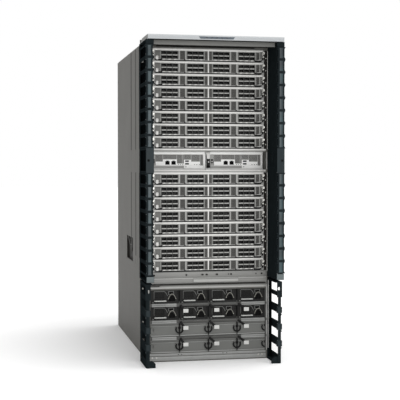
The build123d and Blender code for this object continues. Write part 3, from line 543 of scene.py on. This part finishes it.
def module_screws():
    """Captive screw with a gripped rim at each end, a smaller pin under it, and a spring beside it."""
    head = [(1.6, -seat), (1.6, -3.3), (5.2, -3.4), (5.4, -3.8), (5.4, -9.6), (4.6, -10.4), (1.4, -10.2)]
    pin = turned([(3.4, -7.0), (3.4, -8.6), (2.6, -9.6), (0.6, -9.8)], 0.0, 20.6, 16)
    path = [(-1.0, -8.6, 30.5), (3.5, -8.6, 27.5), (4.5, -6.0, 24.5)]
    spring = carried(round_outline(2.6, 2.4, 0.8)[0], path, (0, 1, 0))
    cluster = merge(turned([*head, (1.2, -9.0)], 0.0, 34.0, 20, 0.05), pin, spring)
    return merge(copies(cluster, [(-201.8, 0, 0)]), copies(mirrored(cluster), [(201.6, 0, 0)]))


module_parts = [
    ("face", module_face(), face_coat),
    ("fields", module_fields(), field_coat),
    ("lips", module_lips(), lip_coat),
    ("beads", module_beads(), face_coat),
    ("sockets", module_sockets(), socket_dark),
    ("cages", module_cages(), cage_steel),
    ("vents", module_vents(), vent_steel),
    ("vent_shades", module_vent_shades(), socket_dark),
    ("arms", module_ends(), arm_moulding),
    ("screws", module_screws(), nickel),
]
for number, floor in enumerate(slot_floors, start=1):
    for word, shape, used in module_parts:
        piece(f"module_{word}_{number:02d}", copies(shape, [(0, 0, floor)]), used, f"io_module_{number:02d}")

# Supervisors: half-width faces that stand back between the decks. X is counted from the left edge
supervisor_lefts = {"left": -214.5, "right": 1.0}
supervisor_width = 213.5
window_x = (29.0, supervisor_width - 7.5)
window_z = (supervisor_floor + 25.2, supervisor_top - 10.6)
face_y = supervisor_recess
# Start, end and height of each port block, and the limits of the sockets, counted from the window's corner
block_steps = [
    (2.0, 28.5, 14.0), (28.5, 80.0, 22.0), (80.0, 106.0, 7.0), (106.0, 132.5, 21.0), (132.5, 165.5, 14.0),
]
network_middles = [45.3 + k * 22.4 for k in (0, 1)]
network_sockets = [(middle - 7.9, middle + 7.9, 3.0, 15.6) for middle in network_middles]
stacked_sockets = [(117.0 - 6.9, 117.0 + 6.9, 3.5 + k * 9.6, 8.9 + k * 9.6) for k in (0, 1)]


def supervisor_blocks():
    """White plates on the stepped port blocks, cut for their sockets, with the rims and bands of the face."""
    place = (window_x[0], 0, window_z[0])
    plates = []
    for start, end, height in block_steps:
        holes = [hole for hole in network_sockets + stacked_sockets if start < hole[0] < end]
        plates.append(cut_plate((start, end), (0.0, height), holes, (face_y - 1.4, face_y - seat)))
    bump_lefts = (4, 12, 20, 137, 146, 155)
    bumps = [pad((x, x + 5.0), (face_y - 2.4, face_y - 1.3), (2.6, 6.0), 0.8, 0.5) for x in bump_lefts]
    right = supervisor_width
    rims = [
        pad((17.0, right - 0.4), (face_y - 1.6, face_y - seat), (window_z[1] + 0.6, 749.0), 1.0, 0.6),
        pad((right - 7.0, right - 0.5), (face_y - 1.8, face_y - seat), (693.0, 743.8), 1.0, 0.6),
        pad((window_x[0] + 106.0, right - 7.4), (face_y - 1.6, face_y - seat), (692.6, 702.6), 1.0, 0.6),
        pad((15.5, right), (face_y - 5.6, face_y - seat), (688.6, 692.4), 1.4, 1.2),
    ]
    return merge(copies(merge(*plates, *bumps), [place]), *rims)


def supervisor_bands():
    """Grey parts of the face: the strip under the blocks, the column beside the lever, and the divider."""
    strip = pad((16.0, 134.5), (face_y - 1.3, face_y - seat), (693.0, 702.6), 0.8, 0.4)
    column = pad((15.6, 28.6), (face_y - 1.5, face_y - seat), (703.2, 743.6), 1.0, 0.6)
    divider = pad((127.0, 130.8), (face_y - 0.4, face_y + 1.4), (710.2, 743.2), 0.8, 0.4)
    return merge(strip, column, divider)


def supervisor_grille():
    """Perforated sheet over the field, from the top of each port block up, with holes every 3 mm."""
    edges = [(0.0, 2.0, 0.0), *block_steps, (165.5, 177.0, 0.0)]
    left, low = window_x[0], window_z[0]
    y = (face_y + 0.8, face_y + 1.4)
    fields = [((left + start, left + end), (low + tall, window_z[1])) for start, end, tall in edges]
    return merge(*[mesh_sheet(x, z, y, 3.0, 0.9) for x, z in fields])


def supervisor_darks():
    """Painted shade as a dark sheet for the space behind the grille; the sockets' lining with its tongues and
    notches, and small windows.
    """
    place = [(window_x[0], 0, window_z[0])]
    back = slab(window_x, (face_y + 2.2, face_y + 2.95), window_z)
    lining_y = (face_y + 0.1, face_y + 12.0)
    linings = [lining(hole[:2], hole[2:], *lining_y) for hole in network_sockets + stacked_sockets]
    tongue_y = (face_y + 1.0, face_y + 11.0)
    tongues = [slab((a + 1.5, b - 1.5), tongue_y, (low + 1.6, low + 3.2)) for a, b, low, _ in stacked_sockets]
    notch_y = (face_y - 1.42, face_y - 0.1)
    notches = [slab((a + 3.5, b - 3.5), notch_y, (high, high + 2.0)) for a, b, _, high in network_sockets]
    dot_y = (face_y - 1.7, face_y - 0.1)
    dots = [pad((x, x + 2.6), dot_y, (2.0, 5.0), 0.8, 0.2) for x in (84, 92, 100, 143, 152, 161)]
    button = pad((18.6, 27.4), (face_y - 2.6, face_y - 1.4), (711.0, 726.0), 1.4, 0.6)
    hole = turned([(1.8, face_y - 1.3), (1.8, face_y - 1.75), (0.6, face_y - 1.8)], 142.0, 698.5, 12)
    return merge(back, copies(merge(*linings, *tongues, *notches, *dots), place), button, hole)


def lever_cover():
    """Two shapes: the bright cover on the upper half of the lever with a round bolt head low on it, and the
    latch beside the lever, which stays with the face."""
    cover = pad((2.0, 13.6), (face_y - 11.6, face_y - 10.02), (727.0, 751.6), 2.0, 0.9)
    profile = [(2.6, face_y - 10.02), (2.6, face_y - 11.4), (1.8, face_y - 12.0), (0.5, face_y - 12.1)]
    bolt = turned(profile, 8.4, 716.0, 16)
    latch = pad((21.0, 25.0), (face_y - 3.2, face_y - 2.5), (715.0, 720.6), 1.2, 0.4)
    return merge(cover, bolt), latch


for word, left in supervisor_lefts.items():
    body = f"supervisor_{word}"
    cover, latch = lever_cover()
    for part_word, shape, used in (
        ("blocks", supervisor_blocks(), supervisor_coat),
        ("bands", supervisor_bands(), face_coat),
        ("grille", supervisor_grille(), grille_steel),
        ("darks", supervisor_darks(), socket_dark),
        ("latch", latch, lip_coat),
    ):
        piece(f"supervisor_{part_word}_{word}", copies(shape, [(left, 0, 0)]), used, body)
    piece(f"lever_cover_{word}", copies(cover, [(left, 0, 0)]), lip_coat, f"supervisor_lever_{word}")

# Decks round the supervisors, header under the hood, and edges of the bays
deck_lips = merge(
    pad((-bay_half, bay_half), (-2.4, -seat), (757.6, 763.5), 1.6, 1.2),
    pad((-bay_half, bay_half), (-2.4, -seat), (684.0, 688.2), 1.4, 1.0),
)
bay_edge = pad((215.4, 219.4), (-1.4, -seat), (31.0, 271.0), 0.8, 0.5)
piece("bay_edges", both(bay_edge), rail_coat, "chassis")
# Bright line down the inside of the right lower frame, which the photo shows on that side alone
# Painted light: its pale coat stands for the backdrop seen through a gap
backdrop_gap_light = slab((230.6, 234.4), (32.5, 32.98), (31.0, 289.0))
piece("backdrop_gap_light", backdrop_gap_light, lip_coat, "chassis")
piece("deck_lips", deck_lips, lip_coat, "chassis")

# Header panel well forward under the hood, clear of the top module's way out, and painted shade lining the
# hood's inside and the band under it
header = merge(
    pad((-216.4, 216.4), (-110.0, -106.0), (1118.8, 1135.4), 1.2, 1.0),
    pad((-208.0, 208.0), (-1.8, -seat), (1118.4, 1123.4), 0.8, 0.6),
)
piece("header_panel", header, panel_coat, "chassis")
hood_painted_shade = merge(
    slab((-238.2, 238.2), (-136.0, -0.1), (1147.8, 1148.5)),
    slab((219.6, 238.3), (-0.7, -0.05), (1134.5, 1147.6)),
    slab((-238.3, -219.6), (-0.7, -0.05), (1134.5, 1147.6)),
    slab((-219.0, 219.0), (-0.7, -0.05), (1128.0, 1147.0)),
)
piece("hood_painted_shade", hood_painted_shade, seam_shade, "chassis")
# Painted shade: darker plates on the hood's two side faces, which turn away from the light
cheek = slab((hood_half + seat, hood_half + 0.4), (-hood_reach + 1.5, -0.5), (1136.0, 1149.4))
piece("hood_side_shades", both(cheek), panel_coat, "chassis")
lamp_places = [((k - 2) * 18.0, -hood_reach, 1141.45) for k in range(5)]
lamp = pad((-2.3, 2.3), (-0.75, -seat), (-1.3, 1.3), 0.6, 0.2)
piece("indicator_lamps", copies(lamp, lamp_places), socket_dark, "chassis")
bank_heights = ((320.0, supervisor_floor), (upper_floor, 1117.6))
# Painted shade: dark strips in the gaps between the modules' ends and the posts
post_gap_shades = [slab((207.4, 217.8), (-0.9, -seat), heights) for heights in bank_heights]
post_edges = [slab((217.8, 219.4), (-1.6, -seat), heights) for heights in bank_heights]
piece("post_gap_shades", both(merge(*post_gap_shades)), seam_shade, "chassis")
piece("post_edges", both(merge(*post_edges)), lip_coat, "chassis")
post_screw = turned([(2.4, -0.8), (2.4, -2.2), (1.6, -2.8), (0.5, -2.9)], 0.0, 0.0, 12)
post_places = [(side * 212.6, 0, floor + 17.0) for side in (-1, 1) for floor in slot_floors]
piece("post_screws", copies(post_screw, post_places), nickel, "chassis")
piece("header_slot", pad((-190.0, 170.0), (-2.2, -seat), (1124.6, 1127.4), 1.2, 0.4), socket_dark, "chassis")
deck_bands = merge(
    pad((-bay_half, bay_half), (-1.2, -seat), (678.6, 683.4), 0.8, 0.5),
    pad((-bay_half, bay_half), (-1.2, -seat), (754.3, 757.0), 0.8, 0.5),
    pad((214.9, 218.8), (-1.0, -seat), (690.0, 752.0), 0.8, 0.5),
)
piece("deck_bands", deck_bands, face_coat, "chassis")


# Cable rings: a smooth barrel over the front bar of each ring, and a black rim between two rings
def oval_bar(half_width, half_depth, height, count=24, power=0.7):
    """Upright bar with a half width at each level, whose section is the cosine and the sine of each turn,
    their sizes raised to a power: below one, that squares the oval's corners."""
    turn = (np.arange(count) + 0.5) / count * 2 * np.pi
    across, deep = [np.sign(part) * np.abs(part) ** power for part in (np.cos(turn), np.sin(turn))]
    x = across * half_width[:, None]
    y = np.broadcast_to(deep * half_depth, x.shape)
    z = np.broadcast_to(np.linspace(-height / 2, height / 2, len(half_width))[:, None], x.shape)
    return loft(np.stack([x, y, z], -1))


def ring_barrel():
    """Barrel of one ring: its half width grows by 1.6 mm with the fourth power of the distance from its
    middle."""
    return oval_bar(11.0 + 1.6 * np.linspace(-1, 1, 15) ** 4, 7.2, 35.4)


def ring_rim(height):
    """Rim between two barrels: its half width falls by 2.4 mm with the square of the distance from its
    middle."""
    return oval_bar(14.9 - 2.4 * np.linspace(-1, 1, 9) ** 2, 7.6, height)


spool_middle = (post_inner + ring_outer) / 2
for side, word in ((-1, "left"), (1, "right")):
    line = (side * spool_middle, -upper_reach + 6.8)
    barrels = copies(ring_barrel(), [(*line, floor + rack_unit / 2) for floor in slot_floors])
    piece(f"ring_barrels_{word}", barrels, spool_moulding, "chassis")
    rims = []
    for floors in (lower_floors, upper_floors):
        rims.append(copies(ring_rim(8.6), [(*line, floor) for floor in floors[1:]]))
        rims.append(copies(ring_rim(4.2), [(*line, floors[0] + 2.2), (*line, floors[-1] + rack_unit - 2.2)]))
    piece(f"ring_rims_{word}", merge(*rims), frame_moulding, "chassis")

# End blocks of the upper frames, and rounded lugs on the posts of the lower ones
plate_y = (-upper_reach - 0.9, -upper_reach - seat)
end_block = pad((218.6, 244.2), plate_y, (frame_bottom + 0.6, frame_bottom + 20.4), 1.4, 0.7)
piece("frame_end_blocks", both(end_block), end_block_coat, "chassis")
guard_bore = (233.2, 240.8, 716.3, 723.9)
guard_plate = cut_plate((218.8, 245.2), (677.2, 763.0), [guard_bore], plate_y)
piece("guard_plates", both(guard_plate), guard_moulding, "chassis")
plug_profile = [(4.3, -upper_reach + 2.8), (4.3, -upper_reach + 1.2), (0.6, -upper_reach + 1.1)]
bore_plug = turned(plug_profile, 237.0, 720.1, 16)
slot_back = slab((222.1, 222.9), (-94.0, -30.0), (694.0, 750.0))
piece("guard_darks", both(merge(bore_plug, slot_back)), socket_dark, "chassis")


def post_lugs():
    """Oval lugs on the lower posts between their windows, each with a short nub under it. A lug's half width
    falls by 0.16 of itself with the fourth power of the distance from its middle."""
    half_width = 9.4 * (1 - 0.16 * np.abs(np.linspace(-1, 1, 11)) ** 4)
    lug = oval_bar(half_width, 6.2, 22.0, count=16, power=0.6)
    nub = pad((4.6, 8.4), (-5.4, 2.0), (-18.6, -13.0), 1.6, 1.4)
    middles = [(supply_floors[k] + supply_floors[k + 1]) / 2 + 10.5 for k in range(3)]
    return copies(merge(lug, nub), [(235.6, -lower_reach + 5.4, middle) for middle in middles])


piece("post_lugs", both(post_lugs()), guard_moulding, "chassis")
bracket_screw = turned([(3.4, -seat), (3.4, -1.6), (2.2, -2.4), (0.6, -2.5)], 0.0, 0.0, 16)
bracket_places = [(side * 233.0, 35.5, height) for side in (-1, 1) for height in (261.0, 140.6)]
piece("bracket_screws", copies(bracket_screw, bracket_places), nickel, "chassis")

# Intake beam: raised bands, rails, and painted shade: dark discs for its holes and dark lines beside the
# rails
beam_band = merge(
    pad((-bay_half, bay_half), (-4.2, -3.02), (303.4, 321.0), 1.2, 0.7),
    pad((-bay_half, -57.4), (-7.2, -6.02), (284.6, 294.6), 1.2, 0.7),
    pad((110.4, bay_half), (-7.2, -6.02), (284.6, 294.6), 1.2, 0.7),
)
piece("beam_bands", beam_band, beam_coat, "chassis")
lower_rail = pad((-214.0, 214.0), (-4.2, -3.02), (262.6, 268.6), 1.4, 0.9)
piece("beam_lower_rail", lower_rail, face_coat, "chassis")
beam_rails = merge(
    pad((-56.0, 109.0), (-10.2, -9.02), (284.6, 294.6), 1.4, 0.8),
    pad((-bay_half, bay_half), (-6.4, -3.02), (296.2, 299.6), 1.2, 0.8),
)
piece("beam_rails", beam_rails, rail_coat, "chassis")
hole_shade_height = 311.0
hole_shade_places = [(x, 0, hole_shade_height) for x in (-197.6, -81.2, -21.3, -6.0, 31.6, 83.4, 197.0)]
hole_shade = turned([(3.3, -3.02), (3.3, -5.6), (2.4, -6.0), (0.6, -6.0)], 0.0, 0.0, 14)
beam_shades = merge(
    copies(hole_shade, hole_shade_places),
    slab((-214.0, -178.4), (-3.2, 0.5), (269.3, 271.9)),
    pad((-214.0, 214.0), (-0.8, -seat), (274.4, 279.4), 1.0, 0.4),
)
piece("beam_painted_shades", beam_shades, seam_shade, "chassis")

# Sill and base under the bays
sill = merge(
    pad((-215.0, 215.0), (-2.4, -seat), (3.2, 18.4), 1.4, 1.0),
    pad((-214.0, 214.0), (-1.4, -seat), (20.4, 29.4), 1.0, 0.7),
)
piece("sill_plates", sill, ledge_coat, "chassis")
sill_screw = turned([(3.2, -2.3), (3.2, -3.6), (2.2, -4.4), (0.6, -4.5)], 0.0, 0.0, 16)
piece("sill_screws", copies(sill_screw, [(x, 0, 15.0) for x in (-205, -190, 186, 200)]), nickel, "chassis")
# Painted shade: dark discs standing for the shade inside the base's holes
base_hole = turned([(1.7, -1.3), (1.7, -1.9), (0.6, -1.9)], 0.0, 0.0, 10)
base_places = [(x, 0, 25.0) for x in (-110.0, -98.0, 54.0, 68.0)]
piece("base_holes", copies(base_hole, base_places), seam_shade, "chassis")

# Ledges under the supplies: pale at the two outer columns, dark at the inner ones
ledge_rows = supply_floors[:3]


def bright_ledge(left, right):
    """Pale ledge between two limits: a rolled lower edge and a thinner upper one."""
    lower = pad((left, right), (-5.6, -seat), (-11.8, -6.6), 1.0, 0.8)
    return merge(lower, pad((left, right), (-5.0, -seat), (-5.8, -0.8), 0.8, 0.6))


outer_ledges = [
    copies(bright_ledge(*limits), [(column, 0, floor) for floor in ledge_rows])
    for column, limits in ((supply_columns[0], (-47.0, 42.0)), (supply_columns[3], (-38.0, 50.0)))
]
piece("bright_ledges", merge(*outer_ledges), ledge_coat, "chassis")
dark_ledge = pad((-36.0, 50.0), (-5.0, -4.02), (-4.6, -2.2), 0.8, 0.6)
inner_places = [(column, 0, floor) for floor in ledge_rows for column in supply_columns[1:3]]
piece("dark_ledges", copies(dark_ledge, inner_places), supply_trim_coat, "chassis")
ledge_shade = slab((-50.4, 50.4), (-0.9, -seat), (-12.0, -5.8))
piece("ledge_shades", copies(ledge_shade, inner_places), seam_shade, "chassis")
stem = pad((-1.4, 1.4), (-9.7, -seat), (6.6, 47.0), 1.6, 1.2)
stem_places = [((k - 1) * supply_pitch_across, 0, floor) for k in range(3) for floor in supply_floors]
piece("hook_stems", copies(stem, stem_places), arm_moulding, "chassis")


# Power supplies and blank covers. X is counted from the middle of a column, Z from its floor
def supply_trim():
    """Grey lines of the face: a ledge and an upright round the exhaust, a slanting brace beside it, a
    switch rim, and a short foot beside the handle."""
    section, _ = round_outline(2.4, 2.4, 0.8)
    path = bent([(-39.0, -1.2, 43.6), (-1.0, -1.2, 43.6), (4.0, -1.2, 38.0), (10.0, -1.2, 27.0)], 3.0)
    brace = carried(section, path, (0, 1, 0))
    side = pad((-39.6, -38.0), (-1.4, -seat), (16.0, 43.0), 0.6, 0.4)
    rim = cut_plate((13.0, 33.0), (31.6, 44.0), [(15.0, 31.0, 33.2, 42.4)], (-1.2, -seat))
    foot = pad((-46.0, -40.0), (-5.4, -seat), (1.6, 6.0), 1.6, 1.2)
    return merge(brace, side, rim, foot)


def supply_darks():
    """Inlet body with a round-cornered front and three pins, the rocker of the switch, and two lamps."""
    inlet = pad((15.6, 36.4), (-1.6, 12.0), (9.4, 24.6), 3.4, 0.8)
    rocker = pad((16.0, 30.0), (-2.6, -seat), (34.0, 41.6), 1.2, 0.9)
    pin_places = ((20.5, 16.0), (26.0, 19.6), (31.5, 16.0))
    pins = [slab((x - 0.9, x + 0.9), (-3.6, -1.5), (z - 2.4, z + 2.4)) for x, z in pin_places]
    lamps = [turned([(1.5, -seat), (1.5, -1.4), (0.5, -1.6)], 46.0, z, 10) for z in (42.0, 35.0)]
    return merge(inlet, rocker, *pins, *lamps)


def supply_grille():
    """Perforated exhaust sheet in its recess, with holes every 3.4 mm."""
    return mesh_sheet((-37.4, -1.6), (17.2, 40.8), (2.8, 3.4), 3.4, 1.2)


def supply_wires():
    """Wire bail over the inlet, whose height falls with the 2.2nd power of the distance from its middle,
    with its two eyes."""
    share = np.linspace(-1, 1, 15)
    x = 26.0 + 13.5 * share
    y = -4.4 - 0.6 * (1 - share**2)
    z = 17.0 + 17.0 * (1 - np.abs(share) ** 2.2)
    bail = np.stack([x, y, z], 1)
    eye = turned([(1.7, -3.0), (1.7, -5.4), (1.2, -5.8), (0.5, -5.8)], 0.0, 0.0, 12)
    return merge(wire(bail, 1.2, sides=8), copies(eye, [(12.5, 0, 17.0), (39.5, 0, 17.0)]))


def handle_bar():
    """Brushed grip over the handle bar, on two short posts."""
    grip = pad((-40.0, 4.0), (-15.4, -11.0), (8.2, 12.4), 2.0, 1.6)
    posts = [pad((x, x + 2.6), (-11.3, -seat), (9.0, 11.8), 0.8, 0.4) for x in (-37.0, -1.0)]
    return merge(grip, *posts)


def cord_strap(end_x, end_z):
    """Black strap that slants down from the upright over the ledge to its label: a flat oval section carried
    on a bent line in front of the face."""
    section, _ = round_outline(8.0, 3.6, 1.6)
    middle = ((end_x - 50.0) / 2 - 1.0, -8.5, (end_z + 54.5) / 2)
    path = bent([(-50.0, -8.5, 54.5), middle, (end_x, -8.5, end_z), (end_x + 3.0, -4.0, end_z - 4.0)], 3.0)
    return carried(section, path, (0, 1, 0))


def hook_arms():
    """Curved cord arm at the right edge, with its knob: it leaves the upright low, bows out and ends open
    at the top."""
    section, _ = round_outline(5.4, 5.8, 1.5)
    corners = [(50.2, 12.5), (44.5, 15.0), (40.6, 21.0), (40.2, 27.0), (42.0, 33.5)]
    path = bent([(x, -2.95, z) for x, z in corners], 3.0)
    knob = pad((48.4, 51.0), (-5.9, -seat), (27.0, 36.0), 1.2, 0.8)
    return merge(carried(section, path, (0, 1, 0)), knob)


filled_rows = 2
label_lefts = {1: -40.3, 2: -33.0, 3: -29.0}
label_width, label_height = 18.4, 13.4
blank_edges = merge(
    pad((-50.6, 50.6), (-3.0, -2.02), (1.8, 5.2), 1.0, 0.6),
    pad((-50.6, 50.6), (-0.9, -seat), (37.0, 38.6), 0.6, 0.4),
)
unit_places = [(column, 0, floor) for floor in supply_floors for column in supply_columns]
supply_parts = [
    ("supply_trim", supply_trim(), supply_trim_coat),
    ("supply_darks", supply_darks(), socket_dark),
    ("supply_grille", supply_grille(), supply_coat),
    ("supply_wires", supply_wires(), tarnished_wire),
    ("handle_bar", handle_bar(), bar_coat),
]
for index, place in enumerate(unit_places):
    row, column = divmod(index, len(supply_columns))
    number = index % (filled_rows * len(supply_columns)) + 1
    is_supply = row < filled_rows
    if is_supply:
        body = f"power_supply_{number}"
        parts = list(supply_parts)
    else:
        body = f"supply_blank_{number}"
        arms = both(hook_arms()) if column else hook_arms()
        parts = [("hook_arms", arms, arm_moulding), ("blank_edges", blank_edges, ledge_coat)]
    if row and column:
        left = label_lefts[column]
        low = 26.4 if is_supply else 24.2
        label = pad((left, left + label_width), (-11.3, -10.3), (low, low + label_height), 1.0, 0.3)
        strap = cord_strap(left + 2.0, low + 12.0)
        parts += [("cord_strap", strap, arm_moulding), ("cord_label", label, label_stock)]
    for word, shape, used in parts:
        piece(f"{word}_{row + 1}_{column + 1}", copies(shape, [place]), used, body)

# Side walls: painted shade along the seams, which stops beside the supervisors, and the strap in the handle
# pocket
seam_starts = (204.0, 302.0, 428.0)
seam_width = 20.0
seam_heights = [(356.0, 677.0), (764.0, chassis_height - 4.0)]
seams = merge(*[
    slab((-chassis_half - 0.3, -chassis_half + 0.9), (start, start + seam_width), heights)
    for start in seam_starts for heights in seam_heights
])
piece("side_seam_shades", both(seams), seam_shade_line, "chassis")
# Painted highlight: the strap's pale brushed metal stands for the bright streak across the pocket
strap_path = [(-217.6, 412.0, 347.0), (-217.6, 424.0, 352.0), (-217.6, 446.0, 372.0), (-217.6, 462.0, 388.0)]
handle_strap = carried(round_outline(7.0, 1.6, 0.6)[0], strap_path, (1, 0, 0))
piece("handle_straps", both(handle_strap), bar_coat, "chassis")


# Rear: ring guards over the fans
def ring_guard():
    """Wire guard: round rings at even steps of radius, and two wires across them on the diagonals."""
    turn = np.linspace(0, 2 * np.pi, 40, endpoint=False)
    circle = np.stack([np.cos(turn), np.zeros(40), np.sin(turn)], 1)
    rings = [wire(radius * circle, 1.1, sides=6, closed=True) for radius in (24.0, 40.0, 56.0, 72.0, 88.0)]
    reach = 90 * 0.7071
    spokes = [wire([(-reach, 1.6, -rise), (reach, 1.6, rise)], 1.3, sides=6) for rise in (reach, -reach)]
    return merge(*rings, *spokes)


for number in range(1, tray_count + 1):
    middle = module_top - (number - 0.5) * tray_height
    guards = copies(ring_guard(), [(side * 100.0, chassis_depth + 1.6, middle) for side in (-1, 1)])
    piece(f"fan_guards_{number}", guards, nickel, f"fan_tray_{number}")

# Camera, floor and light
camera_data = bpy.data.cameras.new("camera")
camera_data.sensor_width = 36.0
camera_data.lens = 92.45
look = (math.pi / 2 - 0.03315, 0.0, -0.2001)
bpy.context.scene.camera = placed("camera", camera_data, (-0.7629, -3.99575, 0.7015), look)


def seen_level(tree, low, high):
    """The high value where a ray comes from the camera, a mirror or glass, and the low one elsewhere."""
    path = add_node(tree, "ShaderNodeLightPath")
    seen = add_node(tree, "ShaderNodeMath", {"operation": "MAXIMUM"})
    tree.links.new(path.outputs["Is Camera Ray"], seen.inputs[0])
    tree.links.new(path.outputs["Is Glossy Ray"], seen.inputs[1])
    through = add_node(tree, "ShaderNodeMath", {"operation": "MAXIMUM"})
    tree.links.new(seen.outputs[0], through.inputs[0])
    tree.links.new(path.outputs["Is Transmission Ray"], through.inputs[1])
    value = {"Value": through.outputs[0]}
    level = add_node(tree, "ShaderNodeMapRange", {"To Min": low, "To Max": high}, value)
    return level.outputs["Result"]


world = bpy.data.worlds.new("studio")
world.use_nodes = True
world_tree = world.node_tree
world_tree.nodes.clear()
sky_strength = {"Strength": seen_level(world_tree, 0.5, 1.0)}
sky = add_node(world_tree, "ShaderNodeBackground", {"Color": (1, 1, 1, 1)}, sky_strength)
add_node(world_tree, "ShaderNodeOutputWorld", None, {"Surface": sky.outputs["Background"]})
bpy.context.scene.world = world

floor_mesh = bpy.data.meshes.new("studio_floor")
floor_corners = [(x, y, -0.0005) for x, y in ((-30, -30), (30, -30), (30, 30), (-30, 30))]
floor_mesh.from_pydata(floor_corners, [], [(0, 1, 2, 3)])
studio_floor = placed("studio_floor", floor_mesh)
floor_paint = bpy.data.materials.new("white_studio_floor")
floor_paint.use_nodes = True
floor_tree = floor_paint.node_tree
floor_tree.nodes.clear()
paint = add_node(floor_tree, "ShaderNodeBsdfDiffuse", None, {"Color": seen_level(floor_tree, 0.8, 1.05)})
add_node(floor_tree, "ShaderNodeOutputMaterial", None, {"Surface": paint.outputs["BSDF"]})
floor_mesh.materials.append(floor_paint)
studio_floor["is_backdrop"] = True

# One broad sun from high on the right: 75 degrees up, and turned 70 degrees off the front
key_data = bpy.data.lights.new("key", "SUN")
key_data.energy = 2.0
key_data.angle = math.radians(60.0)
placed("key", key_data, (1.5, -1.5, 3.0), (math.radians(15.0), 0.0, math.radians(70.0)))

# One low square lamp straight in front, level with the supervisors
fill_data = bpy.data.lights.new("fill", "AREA")
fill_data.size = 1.2
fill_data.energy = 32.0
placed("fill", fill_data, (0.2, -3.4, 0.72), (math.pi / 2, 0.0, 0.06))
bpy.context.scene.view_settings.view_transform = "Standard"

low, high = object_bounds()
